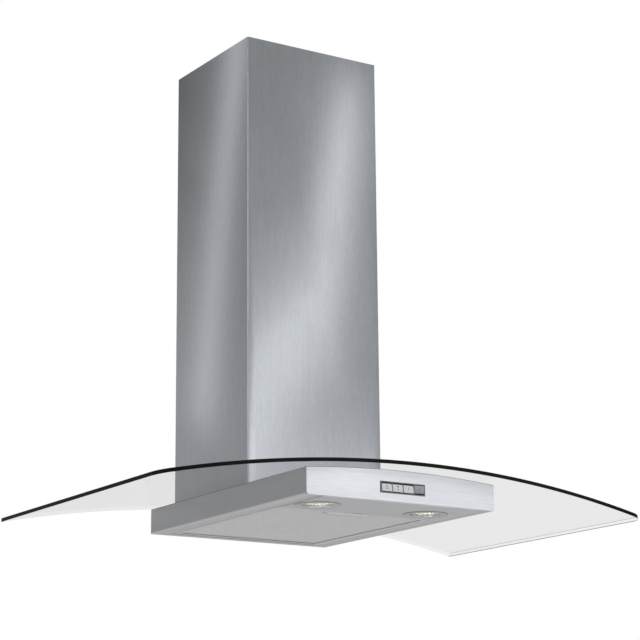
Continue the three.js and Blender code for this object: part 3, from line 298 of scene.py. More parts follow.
def glass_edge(name):
    """Polished edge of the sheet: dark green seen from outside, clear where the inside mirrors."""
    shader = Shader(name, IOR=1.5, Specular_IOR_Level=0.06)
    ripples = shader.noise((60.0, 60.0, 500.0))
    green = shader.blend(ripples, (0.003, 0.005, 0.004, 1.0), (0.009, 0.014, 0.012, 1.0))
    shader.drive(green, "Base Color")
    shader.dull(ripples, 0.1, 0.2)
    inside = shader.add("ShaderNodeNewGeometry").outputs["Backfacing"]
    split = shader.add("ShaderNodeSeparateXYZ")
    shader.feed(shader.coordinates, split.inputs[0])
    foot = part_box("glass_canopy")[0].z + DARK_FOOT
    clear = shader.spread(split.outputs["Z"], 0.0, INSIDE_CLEARNESS, foot - FOOT_BLUR, foot + FOOT_BLUR)
    shader.drive(shader.math("SUBTRACT", 1.0, shader.math("MULTIPLY", inside, clear)), "Alpha")
    return shader.material


def glass_arris(name):
    """The narrow ground chamfer along the sheet's edges."""
    shader = Shader(name, IOR=1.5)
    ground = shader.noise(300.0)
    shader.drive(shader.blend(ground, (0.03, 0.04, 0.035, 1.0), (0.08, 0.1, 0.09, 1.0)), "Base Color")
    shader.dull(ground, 0.3, 0.45)
    return shader.material


def lamp_glass(name, colour, alpha):
    """Pressed glass with shallow cells."""
    shader = Shader(name, IOR=1.5, Alpha=alpha)
    ripple = shader.cells(260.0).outputs["Distance"]
    shader.tint(ripple, colour, 0.85, 1.0)
    shader.dull(ripple, 0.08, 0.25)
    shader.bump(ripple, 0.3, 0.0004)
    return shader.material


def glowing(name, colour, strength):
    """A hot wire."""
    shader = Shader(name, Roughness=0.3, Emission_Color=colour + (1.0,), Emission_Strength=strength)
    shader.tint(shader.noise(800.0, detail=1.0), colour, 0.9, 1.0)
    return shader.material


def painted_glint_facets(name, colour):
    """Bright facets with a warm white emission in uneven patches: a painted reflection of the lit capsule's light.
    """
    shader = Shader(name, Metallic=1.0, Roughness=0.15, Emission_Color=(1.0, 0.99, 0.94, 1.0))
    patches = shader.cells(170.0).outputs["Color"]
    shader.tint(patches, colour, 0.9, 1.0)
    shader.drive(shader.spread(patches, 0.5, 4.0), "Emission Strength")
    return shader.material


STEEL = (0.595, 0.622, 0.66)
BODY_STEEL = (0.615, 0.622, 0.635)
PANEL_STEEL = (0.79, 0.815, 0.85)
MATERIALS = {
    "brushed_steel": brushed_steel("brushed_steel_look", BODY_STEEL, 0.32, "X", length=2.5),
    "casing_steel": brushed_steel("casing_steel_look", BODY_STEEL, 0.32, "Y", length=2.5),
    "panel_steel": brushed_steel("panel_steel_look", PANEL_STEEL, 0.3, "XY", contrast=0.09, length=2.5),
    "chimney_steel": brushed_steel("chimney_steel_look", STEEL, 0.3, "Z", contrast=0.09),
    "clear_glass": clear_glass("clear_glass_look"),
    "foam": foam_rubber("foam_look", (0.045, 0.045, 0.048)),
    "zinc_steel": zinc_steel("zinc_steel_look", (0.55, 0.57, 0.585)),
    "spring_steel": smooth_metal("spring_steel_look", (0.47, 0.48, 0.5), 0.3),
    "dark_plastic": moulded_plastic("dark_plastic_look", (0.03, 0.031, 0.034), 0.5),
    "grey_plastic": moulded_plastic("grey_plastic_look", (0.2, 0.205, 0.21), 0.45),
    "light_plastic": moulded_plastic("light_plastic_look", (0.84, 0.83, 0.9), 0.4),
    "key_plastic": moulded_plastic("key_plastic_look", (0.82, 0.83, 0.845), 0.32, grain=900.0),
    "motor_paint": painted_metal("motor_paint_look", (0.12, 0.125, 0.135)),
    "aluminium": smooth_metal("aluminium_look", (0.745, 0.745, 0.75), 0.55, waves=(60.0, 400.0, 400.0)),
    "lamp_ring": smooth_metal("lamp_ring_look", (0.56, 0.565, 0.56), 0.36, waves=250.0),
    "lamp_glass": lamp_glass("lamp_glass_look", (0.75, 0.75, 0.7), 0.16),
    "reflector": smooth_metal("reflector_look", (0.6, 0.6, 0.56), 0.25, waves=150.0),
    "ceramic": glazed_ceramic("ceramic_look", (0.8, 0.78, 0.73)),
}
GLASS_EDGE = glass_edge("glass_edge_look")
GLASS_ARRIS = glass_arris("glass_arris_look")
# painted reflection: emission on the reflector's middle facets stands in for the capsule's light
PAINTED_GLINT_FACETS = painted_glint_facets("painted_glint_facets_look", (0.9, 0.89, 0.86))
HANDLE_PLASTIC = moulded_plastic("handle_plastic_look", (0.72, 0.71, 0.75), 0.4)
# painted shade: the key plastic made darker for the fourth key, whose face tips downwards
PAINTED_SHADE_KEY = moulded_plastic("painted_shade_key_look", (0.42, 0.425, 0.435), 0.32, grain=900.0)
KEY_MARK = moulded_plastic("key_mark_look", (0.25, 0.26, 0.27), 0.4)
CAPSULE_GLASS = lamp_glass("capsule_glass_look", (0.9, 0.9, 0.88), 0.25)
FILAMENT = glowing("filament_look", (1.0, 0.82, 0.55), 30.0)

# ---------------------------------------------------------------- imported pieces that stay
EDGE_ANGLE = math.radians(32)  # edges that bend more than this are sharp
SPLIT_GAP = 1e-6  # metres between corners that count as one


def tidy_group():
    """Joins split corners, then shades smooth except across sharp edges."""
    group = bpy.data.node_groups.new("tidy_shading", "GeometryNodeTree")
    group.interface.new_socket("Geometry", in_out="INPUT", socket_type="NodeSocketGeometry")
    group.interface.new_socket("Geometry", in_out="OUTPUT", socket_type="NodeSocketGeometry")
    add = group.nodes.new
    entry = add("NodeGroupInput")
    merge = add("GeometryNodeMergeByDistance")
    merge.inputs["Distance"].default_value = SPLIT_GAP
    forget = add("GeometryNodeRemoveAttribute")
    forget.inputs["Name"].default_value = "custom_normal"
    angle = add("GeometryNodeInputMeshEdgeAngle")
    sharp = add("FunctionNodeCompare")
    sharp.data_type = "FLOAT"
    sharp.operation = "GREATER_THAN"
    sharp.inputs[1].default_value = EDGE_ANGLE
    edges = add("GeometryNodeSetShadeSmooth")
    edges.domain = "EDGE"
    edges.inputs["Shade Smooth"].default_value = False
    faces = add("GeometryNodeSetShadeSmooth")
    faces.domain = "FACE"
    leave = add("NodeGroupOutput")
    link = group.links.new
    link(entry.outputs[0], merge.inputs["Geometry"])
    link(merge.outputs[0], forget.inputs["Geometry"])
    link(forget.outputs[0], edges.inputs["Geometry"])
    link(angle.outputs["Unsigned Angle"], sharp.inputs[0])
    link(sharp.outputs[0], edges.inputs["Selection"])
    link(edges.outputs[0], faces.inputs["Geometry"])
    link(faces.outputs[0], leave.inputs[0])
    return group


TIDY = tidy_group()


def soften(piece, width):
    """Rounds a piece's sharp edges by this much."""
    bevel = piece.modifiers.new("soft_edges", "BEVEL")
    bevel.width = width
    bevel.segments = 2
    bevel.limit_method = "ANGLE"
    bevel.angle_limit = EDGE_ANGLE
    bevel.harden_normals = True
    bevel.use_clamp_overlap = True


def dress(name, material, edge=0.0):
    """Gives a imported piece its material, smooth bends and soft edges."""
    piece = nodes[name]
    piece.material_slots[0].material = material
    tidy = piece.modifiers.new("tidy_shading", "NODES")
    tidy.node_group = TIDY
    if edge:
        soften(piece, edge)


SOFT_EDGES = {  # millimetres
    "wiring_box": 0.6,
    "wiring_box_lid": 0.5,
    "lamp_transformer": 0.8,
    "capacitor": 0.5,
    "filter_latch": 0.5,
}
OWN_LOOKS = {"body_casing": "casing_steel"}  # the rest look as their material slots say


def dress_packed_pieces():
    for entry in frame["record"]["subparts"]:
        name = entry["node"]
        look = OWN_LOOKS.get(name, entry["material_slot"])
        dress(name, MATERIALS[look], SOFT_EDGES.get(name, 0.0) * MM)


# ---------------------------------------------------------------- mesh building
SAME_CORNER = 1e-7  # metres


def add_piece(name, bm, body, replaced, materials, edge=0.0):
    """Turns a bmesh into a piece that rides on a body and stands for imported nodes, if any are named."""
    bmesh.ops.remove_doubles(bm, verts=bm.verts, dist=SAME_CORNER)
    bmesh.ops.recalc_face_normals(bm, faces=bm.faces)
    for face in bm.faces:
        face.smooth = True
    for side in bm.edges:
        if len(side.link_faces) == 2:
            side.smooth = side.calc_face_angle() < EDGE_ANGLE
    mesh = bpy.data.meshes.new(name)
    bm.to_mesh(mesh)
    bm.free()
    for material in materials:
        mesh.materials.append(material)
    piece = bpy.data.objects.new(name, mesh)
    bpy.context.scene.collection.objects.link(piece)
    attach(piece, body)
    if replaced:
        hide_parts(*replaced)
    if edge:
        soften(piece, edge)
    return piece


def flat_region(outline, holes=(), cuts_x=()):
    """A flat mesh inside an outline and outside its holes, sliced at the given x."""
    bm = bmesh.new()
    edges = []
    for loop in (outline, *holes):
        points = [bm.verts.new((a, b, 0.0)) for a, b in loop]
        edges += [bm.edges.new((points[i - 1], points[i])) for i in range(len(points))]
    bmesh.ops.triangle_fill(bm, edges=edges, use_beauty=True, use_dissolve=True)
    for x in cuts_x:
        geometry = bm.verts[:] + bm.edges[:] + bm.faces[:]
        bmesh.ops.bisect_plane(bm, geom=geometry, plane_co=(x, 0, 0), plane_no=(1, 0, 0), dist=SPLIT_GAP)
    return bm


def shell_between(flat, lower, upper, rim_index=0):
    """Closes a flat mesh into a solid between two surfaces, given as maps of its points."""
    bm = bmesh.new()
    low = {v: bm.verts.new(lower(v.co.x, v.co.y)) for v in flat.verts}
    high = {v: bm.verts.new(upper(v.co.x, v.co.y)) for v in flat.verts}
    for face in flat.faces:
        bm.faces.new([low[v] for v in face.verts])
        bm.faces.new([high[v] for v in reversed(face.verts)])
    for edge in flat.edges:
        if len(edge.link_faces) == 1:
            a, b = edge.verts
            bm.faces.new((low[a], low[b], high[b], high[a])).material_index = rim_index
    flat.free()
    return bm


def turned(bm, centre, profile, steps=96, axis="Z"):
    """Adds a solid of revolution whose profile lists (radius, height) and may end on the axis."""
    rings = []
    for radius, height in profile:
        ring = []
        for i in range(steps if radius > 0 else 1):
            angle = 2 * math.pi * i / steps
            across = (radius * math.cos(angle), radius * math.sin(angle))
            place = (across[0], across[1], height) if axis == "Z" else (height, across[0], across[1])
            ring.append(bm.verts.new(centre + Vector(place)))
        rings.append(ring)
    pairs = list(zip(rings, rings[1:]))
    if profile[0][0] > 0:
        pairs.append((rings[-1], rings[0]))
    for first, second in pairs:
        for i in range(steps):
            j = (i + 1) % steps
            around = ((first, i), (first, j), (second, j), (second, i))
            distinct = list(dict.fromkeys(ring[k % len(ring)] for ring, k in around))
            if len(distinct) > 2:
                bm.faces.new(distinct)


def arc(centre, radius, start, end, steps):
    """Points on an arc, angles in degrees."""
    points = []
    for k in range(steps + 1):
        angle = math.radians(start + (end - start) * k / steps)
        points.append((centre[0] + radius * math.cos(angle), centre[1] + radius * math.sin(angle)))
    return points


def stadium(centre, half_length, half_width, radius, steps=10):
    """A rounded rectangle as a list of points."""
    x, y = centre
    a, b = half_length - radius, half_width - radius
    return (arc((x + a, y + b), radius, 0, 90, steps) + arc((x - a, y + b), radius, 90, 180, steps)
            + arc((x - a, y - b), radius, 180, 270, steps) + arc((x + a, y - b), radius, 270, 360, steps))


def loft(bm, loops, closed=False, material_index=0):
    """Joins loops of equally many 3-D points, with caps at both ends unless it closes on itself."""
    rings = [[bm.verts.new(p) for p in loop] for loop in loops]
    pairs = list(zip(rings, rings[1:]))
    if closed:
        pairs.append((rings[-1], rings[0]))
    for first, second in pairs:
        for i in range(len(first)):
            corners = (first[i - 1], first[i], second[i], second[i - 1])
            bm.faces.new(corners).material_index = material_index
    if not closed:
        bm.faces.new(rings[0][::-1]).material_index = material_index
        bm.faces.new(rings[-1]).material_index = material_index


def coil(start, axis, aside, length, radius, wire, turns, steps, sides):
    """A helix of round wire that starts here and runs this far along a level axis."""
    loops = []
    for k in range(turns * steps + 1):
        angle = 2 * math.pi * k / steps
        outward = math.cos(angle) * aside + math.sin(angle) * Vector((0, 0, 1))
        centre = start + length * k / (turns * steps) * axis + radius * outward
        around = (2 * math.pi * n / sides for n in range(sides))
        loops.append([centre + wire * (math.cos(t) * outward + math.sin(t) * axis) for t in around])
    bm = bmesh.new()
    loft(bm, loops)
    return bm


# ---------------------------------------------------------------- glass canopy
GLASS_THICKNESS = 6 * MM
GLASS_CORNER = 20 * MM
GLASS_BOW = 10 * MM
ARRIS = 0.3 * MM
THROAT_SIDE = 26 * MM  # gasket's outer edge to the air opening
THROAT_FRONT = 32 * MM
THROAT_HALF = 150 * MM  # the air opening's edges lie nearer the middle than this,
THROAT_REACH = -300 * MM  # and behind this
REAR_MARGIN = 1 * MM  # points this near the rear belong to the rear edge


class Arc:
    """The canopy's curve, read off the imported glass."""

    def __init__(self):
        self.low, self.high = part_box("glass_canopy")
        self.half = self.high.x
        crown = self.high.z - GLASS_THICKNESS
        droop = crown - self.low.z
        self.radius = (droop ** 2 + self.half ** 2) / (2 * droop)
        self.centre_z = crown - self.radius

    def height(self, x, above=0.0):
        return self.centre_z + math.sqrt((self.radius + above) ** 2 - x ** 2)


CURVE = Arc()


def glass_outline():
    """Straight rear and sides, two rounded front corners and a slightly bowed front."""
    straight = CURVE.half - GLASS_CORNER
    corner_y = CURVE.low.y + GLASS_BOW
    left = [(-CURVE.half, CURVE.high.y)]
    left += arc((-straight, corner_y + GLASS_CORNER), GLASS_CORNER, 180, 270, steps=14)
    steps = 72
    front = []
    for i in range(1, steps):
        x = straight * (2 * i / steps - 1)
        front.append((x, corner_y - GLASS_BOW * (1 - (x / straight) ** 2)))
    return left + front + [(-x, y) for x, y in reversed(left)]


def glass_canopy():
    """Bent sheet with an air opening, dark edges, and a chamfer along the edges that show."""
    gasket_low, gasket_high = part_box("glass_gasket")
    x0, x1 = gasket_low.x + THROAT_SIDE, gasket_high.x - THROAT_SIDE
    y0, y1 = gasket_low.y + THROAT_FRONT, gasket_high.y - THROAT_FRONT
    throat = [(x0, y0), (x1, y0), (x1, y1), (x0, y1)]
    slices = 60
    cuts = [CURVE.half * (2 * i / slices - 1) for i in range(1, slices)]
    flat = flat_region(glass_outline(), [throat], cuts)
    bm = shell_between(
        flat,
        lambda x, y: (x, y, CURVE.height(x)),
        lambda x, y: (x, y, CURVE.height(x, GLASS_THICKNESS)),
        rim_index=1,
    )
    piece = add_piece("glass_canopy_look", bm, "canopy", ["glass_canopy"],
                      [MATERIALS["clear_glass"], GLASS_EDGE, GLASS_ARRIS])
    chamfer = piece.modifiers.new("arris", "BEVEL")
    chamfer.width = ARRIS
    chamfer.segments = 1
    chamfer.limit_method = "WEIGHT"
    chamfer.material = 2
    weights = piece.data.attributes.new("bevel_weight_edge", "FLOAT", "EDGE")
    points = piece.data.vertices
    for edge in piece.data.edges:
        ends = [points[i].co for i in edge.vertices]
        along_rim = edge.use_edge_sharp and abs(ends[0].z - ends[1].z) < GLASS_THICKNESS / 2
        rear = all(p.y > CURVE.high.y - REAR_MARGIN for p in ends)
        outer = all(abs(p.x) > THROAT_HALF or p.y < THROAT_REACH for p in ends)
        weights.data[edge.index].value = 1.0 if along_rim and outer and not rear else 0.0


# ---------------------------------------------------------------- front panel
PANEL_BOW = 3 * MM
PANEL_SHEET = 1.2 * MM
PANEL_CORNER = 5 * MM
PANEL_EDGE = 0.4 * MM  # rounding of the sheet's edges
GLASS_GAP = 0.5 * MM
BEZEL_REST = 1 * MM  # width of panel that the bezel's lip covers
FIT_GAP = 0.3 * MM
FOLD_LAP = 0.2 * MM  # how far the fold at the foot is wider than the strip behind it
BOW_STEPS = 44
FOAM_STRIP_WIDTH = 2.5 * MM
FOAM_STRIP_CLEAR = 0.04 * MM  # strip to glass and to steel
FOAM_STRIP_INSET = 0.1 * MM  # from the body's outer faces
FOAM_STRIP_END = 1 * MM  # from the body's back


def panel_y(x, low, half):
    """The front of the bowed panel, whose box has this low corner and this half width."""
    return low.y + PANEL_BOW * (x / half) ** 2


def front_panel():
    """Bowed sheet with rounded lower corners, a top that follows the glass, and a return at its foot."""
    low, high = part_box("front_panel")
    half = high.x
    bezel_low, bezel_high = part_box("switch_bezel")

    top = [half * (1 - 2 * i / BOW_STEPS) for i in range(BOW_STEPS + 1)]
    rim = arc((-half + PANEL_CORNER, low.z + PANEL_CORNER), PANEL_CORNER, 180, 270, steps=10)
    rim += arc((half - PANEL_CORNER, low.z + PANEL_CORNER), PANEL_CORNER, 270, 360, steps=10)
    rim += [(x, CURVE.height(x) - GLASS_GAP) for x in top]
    x0, x1 = bezel_low.x + BEZEL_REST, bezel_high.x - BEZEL_REST
    z0, z1 = bezel_low.z + BEZEL_REST, bezel_high.z - BEZEL_REST
    window = [(x0, z0), (x1, z0), (x1, z1), (x0, z1)]
    bm = shell_between(
        flat_region(rim, [window], top[1:-1]),
        lambda x, z: (x, panel_y(x, low, half), z),
        lambda x, z: (x, panel_y(x, low, half) + PANEL_SHEET, z),
    )
    foot_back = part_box("body_casing")[0].y - FIT_GAP
    foot_steps = 4
    levels = []
    for step in range(foot_steps + 1):
        rise = PANEL_SHEET * step / foot_steps
        reach = half - PANEL_CORNER + math.sqrt(PANEL_CORNER ** 2 - (PANEL_CORNER - rise) ** 2)
        front = [(x * reach / half, panel_y(x, low, half) + PANEL_SHEET / 2, low.z + rise) for x in top]
        back = [(x, foot_back, z) for x, y, z in reversed(front)]
        levels.append(front + back)
    loft(bm, levels)
    fold_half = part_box("light_panel")[1].x + FOLD_LAP
    fold_front = foot_back - PANEL_SHEET / 2
    fold = [(-fold_half, fold_front), (fold_half, fold_front), (fold_half, high.y), (-fold_half, high.y)]
    loft(bm, [[(x, y, z) for x, y in fold] for z in (low.z, low.z + PANEL_SHEET)])
    add_piece("front_panel_look", bm, "canopy", ["front_panel"],
              [MATERIALS["panel_steel"]], edge=PANEL_EDGE)


def foam_edge_strip():
    """Thin dark foam strip between the body's top edges and the glass, along both sides and the front."""
    low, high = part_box("front_panel")
    half = high.x
    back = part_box("body_casing")[1].y - FOAM_STRIP_END
    front = [half * (2 * i / BOW_STEPS - 1) for i in range(BOW_STEPS + 1)]
    outer = [(-half, back)] + [(x, panel_y(x, low, half)) for x in front] + [(half, back)]
    inner = [(x * (1 - FOAM_STRIP_WIDTH / half), y + (FOAM_STRIP_WIDTH if y < back else 0.0)) for x, y in outer]
    loops = []
    for (x0, y0), (x1, y1) in zip(outer, inner):
        if abs(x0) == half:
            x0 -= math.copysign(FOAM_STRIP_INSET, x0)
        if y0 < back:
            y0 += FOAM_STRIP_INSET
        foot0, foot1 = (CURVE.height(x) - GLASS_GAP + FOAM_STRIP_CLEAR for x in (x0, x1))
        top0, top1 = (CURVE.height(x) - FOAM_STRIP_CLEAR for x in (x0, x1))
        loops.append([(x0, y0, foot0), (x1, y1, foot1), (x1, y1, top1), (x0, y0, top0)])
    bm = bmesh.new()
    loft(bm, loops)
    add_piece("foam_edge_strip_look", bm, "canopy", [], [MATERIALS["foam"]])


# ---------------------------------------------------------------- lamps
BODY_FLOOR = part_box("body_casing")[0].z
PAINTED_GLINT_RADIUS = 23 * MM  # facets within this get the painted reflection of the capsule's light


def lamp(side):
    """Ring, lens, faceted reflector and capsule of one lamp. Profiles list radius and height."""
    low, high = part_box("lamp_bezel_" + side)
    centre = Vector(((low.x + high.x) / 2, (low.y + high.y) / 2, BODY_FLOOR))
    ring = (high.x - low.x) / 2
    opening = 26 * MM
    neck = 30.9 * MM
    bm = bmesh.new()
    turned(bm, centre, [
        (ring, -0.3 * MM), (ring - 0.1 * MM, -0.8 * MM), (ring - 0.6 * MM, -1.3 * MM),
        (ring - 3.4 * MM, -1.5 * MM), (ring - 4.4 * MM, -1.45 * MM), (opening + 1.6 * MM, -0.5 * MM),
        (opening + 0.4 * MM, -0.15 * MM), (opening, 0.3 * MM), (opening + 0.4 * MM, 0.5 * MM),
        (neck - 1.4 * MM, 0.5 * MM), (neck - 1.4 * MM, 12 * MM), (neck, 12 * MM), (neck, -0.3 * MM),
    ], steps=120)
    add_piece("lamp_bezel_look_" + side, bm, "canopy", ["lamp_bezel_" + side],
              [MATERIALS["lamp_ring"]])

    lens = neck - 1.7 * MM
    bm = bmesh.new()
    turned(bm, centre, [
        (0, 0.2 * MM), (8 * MM, 0.22 * MM), (16 * MM, 0.3 * MM), (opening - 2.5 * MM, 0.45 * MM),
        (opening - 1.2 * MM, 0.6 * MM), (opening - 0.6 * MM, 0.8 * MM), (lens, 0.8 * MM),
        (lens, 3.3 * MM), (0, 3.3 * MM),
    ], steps=96)
    add_piece("lamp_lens_look_" + side, bm, "canopy", ["lamp_lens_" + side],
              [MATERIALS["lamp_glass"]])

    reflector_gap = 1 * MM
    reflector(side, centre, lens - reflector_gap)
    capsule(side, centre)


def reflector(side, centre, rim):
    """Bright bowl of shallow facets round the capsule. The facets near the middle carry a painted reflection of
    its light.
    """
    foot = 3.6 * MM
    top = 28 * MM
    neck = 8.4 * MM
    bend = 2.2  # power of the bowl's curve
    wall = 1 * MM
    hollow = 0.25 * MM  # depth of every second facet's edge
    sectors = 28
    tiers = 8
    inner = []
    outer = []
    for tier in range(tiers + 1):
        rise = tier / tiers
        radius = rim - (rim - neck) * rise ** bend
        height = foot + (top - foot) * rise
        shift = 0.5 * (tier % 2)
        for rings, grow, depth in ((inner, 0.0, hollow), (outer, wall, 0.0)):
            ring = []
            for i in range(2 * sectors):
                angle = 2 * math.pi * (i / 2 + shift) / sectors
                reach = radius + grow + (depth if i % 2 else 0.0)
                ring.append(centre + Vector((reach * math.cos(angle), reach * math.sin(angle), height)))
            rings.append(ring)
    bm = bmesh.new()
    loft(bm, inner + outer[::-1], closed=True)
    piece = add_piece("lamp_reflector_look_" + side, bm, "canopy",
                      ["lamp_reflector_" + side], [MATERIALS["reflector"], PAINTED_GLINT_FACETS])
    for polygon in piece.data.polygons:
        polygon.use_smooth = False
        offset = polygon.center - centre
        # the middle facets get the painted reflection of the capsule's light
        if math.hypot(offset.x, offset.y) < PAINTED_GLINT_RADIUS:
            polygon.material_index = 1


def capsule(side, centre):
    """Halogen capsule with its coil and ceramic base."""
    base = 28.3 * MM
    bm = bmesh.new()
    turned(bm, centre, [
        (4.4 * MM, base), (9 * MM, base), (9 * MM, base + 8 * MM), (8.5 * MM, base + 9 * MM),
        (6 * MM, base + 11 * MM), (4.4 * MM, base + 11 * MM),
    ], steps=40)
    add_piece("lamp_base_look_" + side, bm, "canopy", ["lamp_bulb_" + side],
              [MATERIALS["ceramic"]], edge=0.3 * MM)
    bm = bmesh.new()
    tip = 12 * MM
    bulb = 4.3 * MM
    dome = 4 * MM
    profile = [(0, tip), (0.6 * MM, tip + 0.1 * MM), (0.9 * MM, tip + 1 * MM)]
    profile += [(bulb * math.sin(a), tip + 1.2 * MM + dome * (1 - math.cos(a)))
                for a in (math.radians(15 * k) for k in range(1, 7))]
    profile += [(bulb, base - 3 * MM), (3.2 * MM, base), (0, base)]
    turned(bm, centre, profile, steps=40)
    glass = add_piece("lamp_capsule_look_" + side, bm, "canopy", [], [CAPSULE_GLASS])
    glass.visible_shadow = False
    length = 5 * MM
    start = centre + Vector((-length / 2, 0, tip + 8 * MM))
    bm = coil(start, axis=Vector((1, 0, 0)), aside=Vector((0, 1, 0)), length=length, radius=0.9 * MM,
              wire=0.28 * MM, turns=7, steps=20, sides=5)
    add_piece("lamp_filament_look_" + side, bm, "canopy", [], [FILAMENT])


# ---------------------------------------------------------------- rocker keys
MARK_SCALE = 1.5
MARK_RELIEF = 0.06 * MM
KEY_TILT = 9  # degrees
KEY_WIDTH = 18.1 * MM
KEY_HEIGHT = 14 * MM
KEY_DEPTH = 3.5 * MM  # from the pivot to the middle of the face
KEY_BULGE = 0.8 * MM
SHADOW_GAP = 1.9 * MM  # between the pushed-in edge of the face and the window
KEY_PIN = 1 * MM


def key_mark(bm, kind, place):
    """A simple raised mark round a place on the front of a level key: ring, bars or dot."""

    def lifted(points, lift):
        """Points of a drawing, given to the right and up, at a height over the key's face."""
        return [place + Vector((MARK_SCALE * a, -lift, MARK_SCALE * b)) for a, b in points]

    def prism(points):
        loft(bm, [lifted(points, lift) for lift in (-MARK_RELIEF, MARK_RELIEF)], material_index=1)

    def ring(centre, radius, wall, steps=24):
        outer = arc(centre, radius, 0, 360, steps)[:-1]
        inner = arc(centre, radius - wall, 0, 360, steps)[:-1]
        loops = [lifted(outer, -MARK_RELIEF), lifted(outer, MARK_RELIEF)]
        loops += [lifted(inner, MARK_RELIEF), lifted(inner, -MARK_RELIEF)]
        loft(bm, loops, closed=True, material_index=1)

    def bar(a, b, half_a, half_b):
        prism([(a + i * half_a, b + j * half_b) for i, j in ((-1, -1), (1, -1), (1, 1), (-1, 1))])

    if kind == "lamp":
        ring((0, -0.4 * MM), 1.7 * MM, 0.5 * MM)
        prism([(-0.6 * MM, 1.5 * MM), (0.6 * MM, 1.5 * MM), (0, 2.9 * MM)])
    elif kind == "fan":
        prism([(0, 0), (1.3 * MM, 2.2 * MM), (-1.3 * MM, 2.2 * MM)])
        prism([(0, -0.4 * MM), (-0.8 * MM, -2.2 * MM), (0.8 * MM, -2.2 * MM)])
    elif kind == "step":
        bar(0, 0.8 * MM, 0.3 * MM, 1.1 * MM)
        bar(-0.5 * MM, -1.0 * MM, 0.5 * MM, 0.25 * MM)
    else:
        prism(arc((0, 0), 1.1 * MM, 0, 360, steps=20)[:-1])


def rocker_key(number, kind):
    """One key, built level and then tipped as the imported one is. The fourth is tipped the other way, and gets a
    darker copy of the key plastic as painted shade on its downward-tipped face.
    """
    name = f"rocker_key_{number}"
    joint = next(j for j in frame["joints"] if j["child"] == name)
    pivot = Vector(joint["pos_m"])
    half = KEY_HEIGHT / 2
    if number == 4:
        face_low, face_high = SHADOW_GAP - half, half
        # painted shade: a darker copy of the same key plastic
        tilt, plastic = KEY_TILT, PAINTED_SHADE_KEY
    else:
        face_low, face_high = -half, half - SHADOW_GAP
        tilt, plastic = -KEY_TILT, MATERIALS["key_plastic"]
    section = []
    steps = 14
    for i in range(steps + 1):
        t = 2 * i / steps - 1
        section.append((-KEY_DEPTH + KEY_BULGE * t ** 2, face_low + (face_high - face_low) * i / steps))
    shoulder = half * 0.72
    section += [(2 * MM, shoulder), (4.5 * MM, 2.5 * MM), (4.5 * MM, -2.5 * MM), (2 * MM, -shoulder)]
    bm = bmesh.new()
    loft(bm, [[(x, y, z) for y, z in section] for x in (-KEY_WIDTH / 2, KEY_WIDTH / 2)])
    for side in (-1, 1):
        start = side * (KEY_WIDTH / 2 - 0.5 * MM)
        end = side * (KEY_WIDTH / 2 + 0.6 * MM)
        pin = [(0, start), (KEY_PIN, start), (KEY_PIN, end), (0, end)]
        turned(bm, Vector((0, 0, 0)), pin, steps=20, axis="X")
    key_mark(bm, kind, Vector((0, -KEY_DEPTH, (face_low + face_high) / 2)))
    turn = Matrix.Translation(pivot) @ Matrix.Rotation(math.radians(tilt), 4, "X")
    bmesh.ops.transform(bm, matrix=turn, verts=bm.verts)
    piece = add_piece(name + "_look", bm, name, [name], [plastic, KEY_MARK], edge=0.35 * MM)
    piece.modifiers["soft_edges"].segments = 3


# ---------------------------------------------------------------- grease filter
HANDLE_RIM = 2 * MM  # plate round the pocket
POCKET_HALF = 12.5 * MM
NET_RELIEF = 0.06  # share of the sheet's height by which strands rise and dip
STRAND_THICKNESS = 0.35 * MM
NETS = {  # pitch across, pitch along, width of a strand as a share of its gap
    "lower": (5.6 * MM, 9 * MM, 0.78),
    "upper": (8 * MM, 11 * MM, 0.45),
    "layer": (4.6 * MM, 7.3 * MM, 0.66),
}
LAYER_HEIGHT = 1 * MM
FIRST_LAYER = 0.6  # its place over the lower sheet, in thirds of the space between the sheets

handle_low, handle_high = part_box("filter_handle")
POCKET_X = (handle_low.x + handle_high.x) / 2
POCKET_Y = handle_high.y - HANDLE_RIM - POCKET_HALF
POCKET_STRAIGHT = (handle_high.x - handle_low.x) / 2 - HANDLE_RIM - POCKET_HALF
POCKET_REACH = POCKET_HALF + HANDLE_RIM / 2  # the nets end under the middle of the rim


def clear_of_pocket(x, y, front):
    """The nearest point outside the pocket's outline and not before the front, and whether it moved."""
    across = math.copysign(max(abs(x - POCKET_X) - POCKET_STRAIGHT, 0.0), x - POCKET_X)
    along = y - POCKET_Y
    distance = math.hypot(across, along)
    if distance >= POCKET_REACH or distance == 0:
        return x, y, distance == 0  # the very middle has no nearest point, but counts as moved
    grow = POCKET_REACH / distance
    return x + across * (grow - 1), max(POCKET_Y + along * grow, front), True


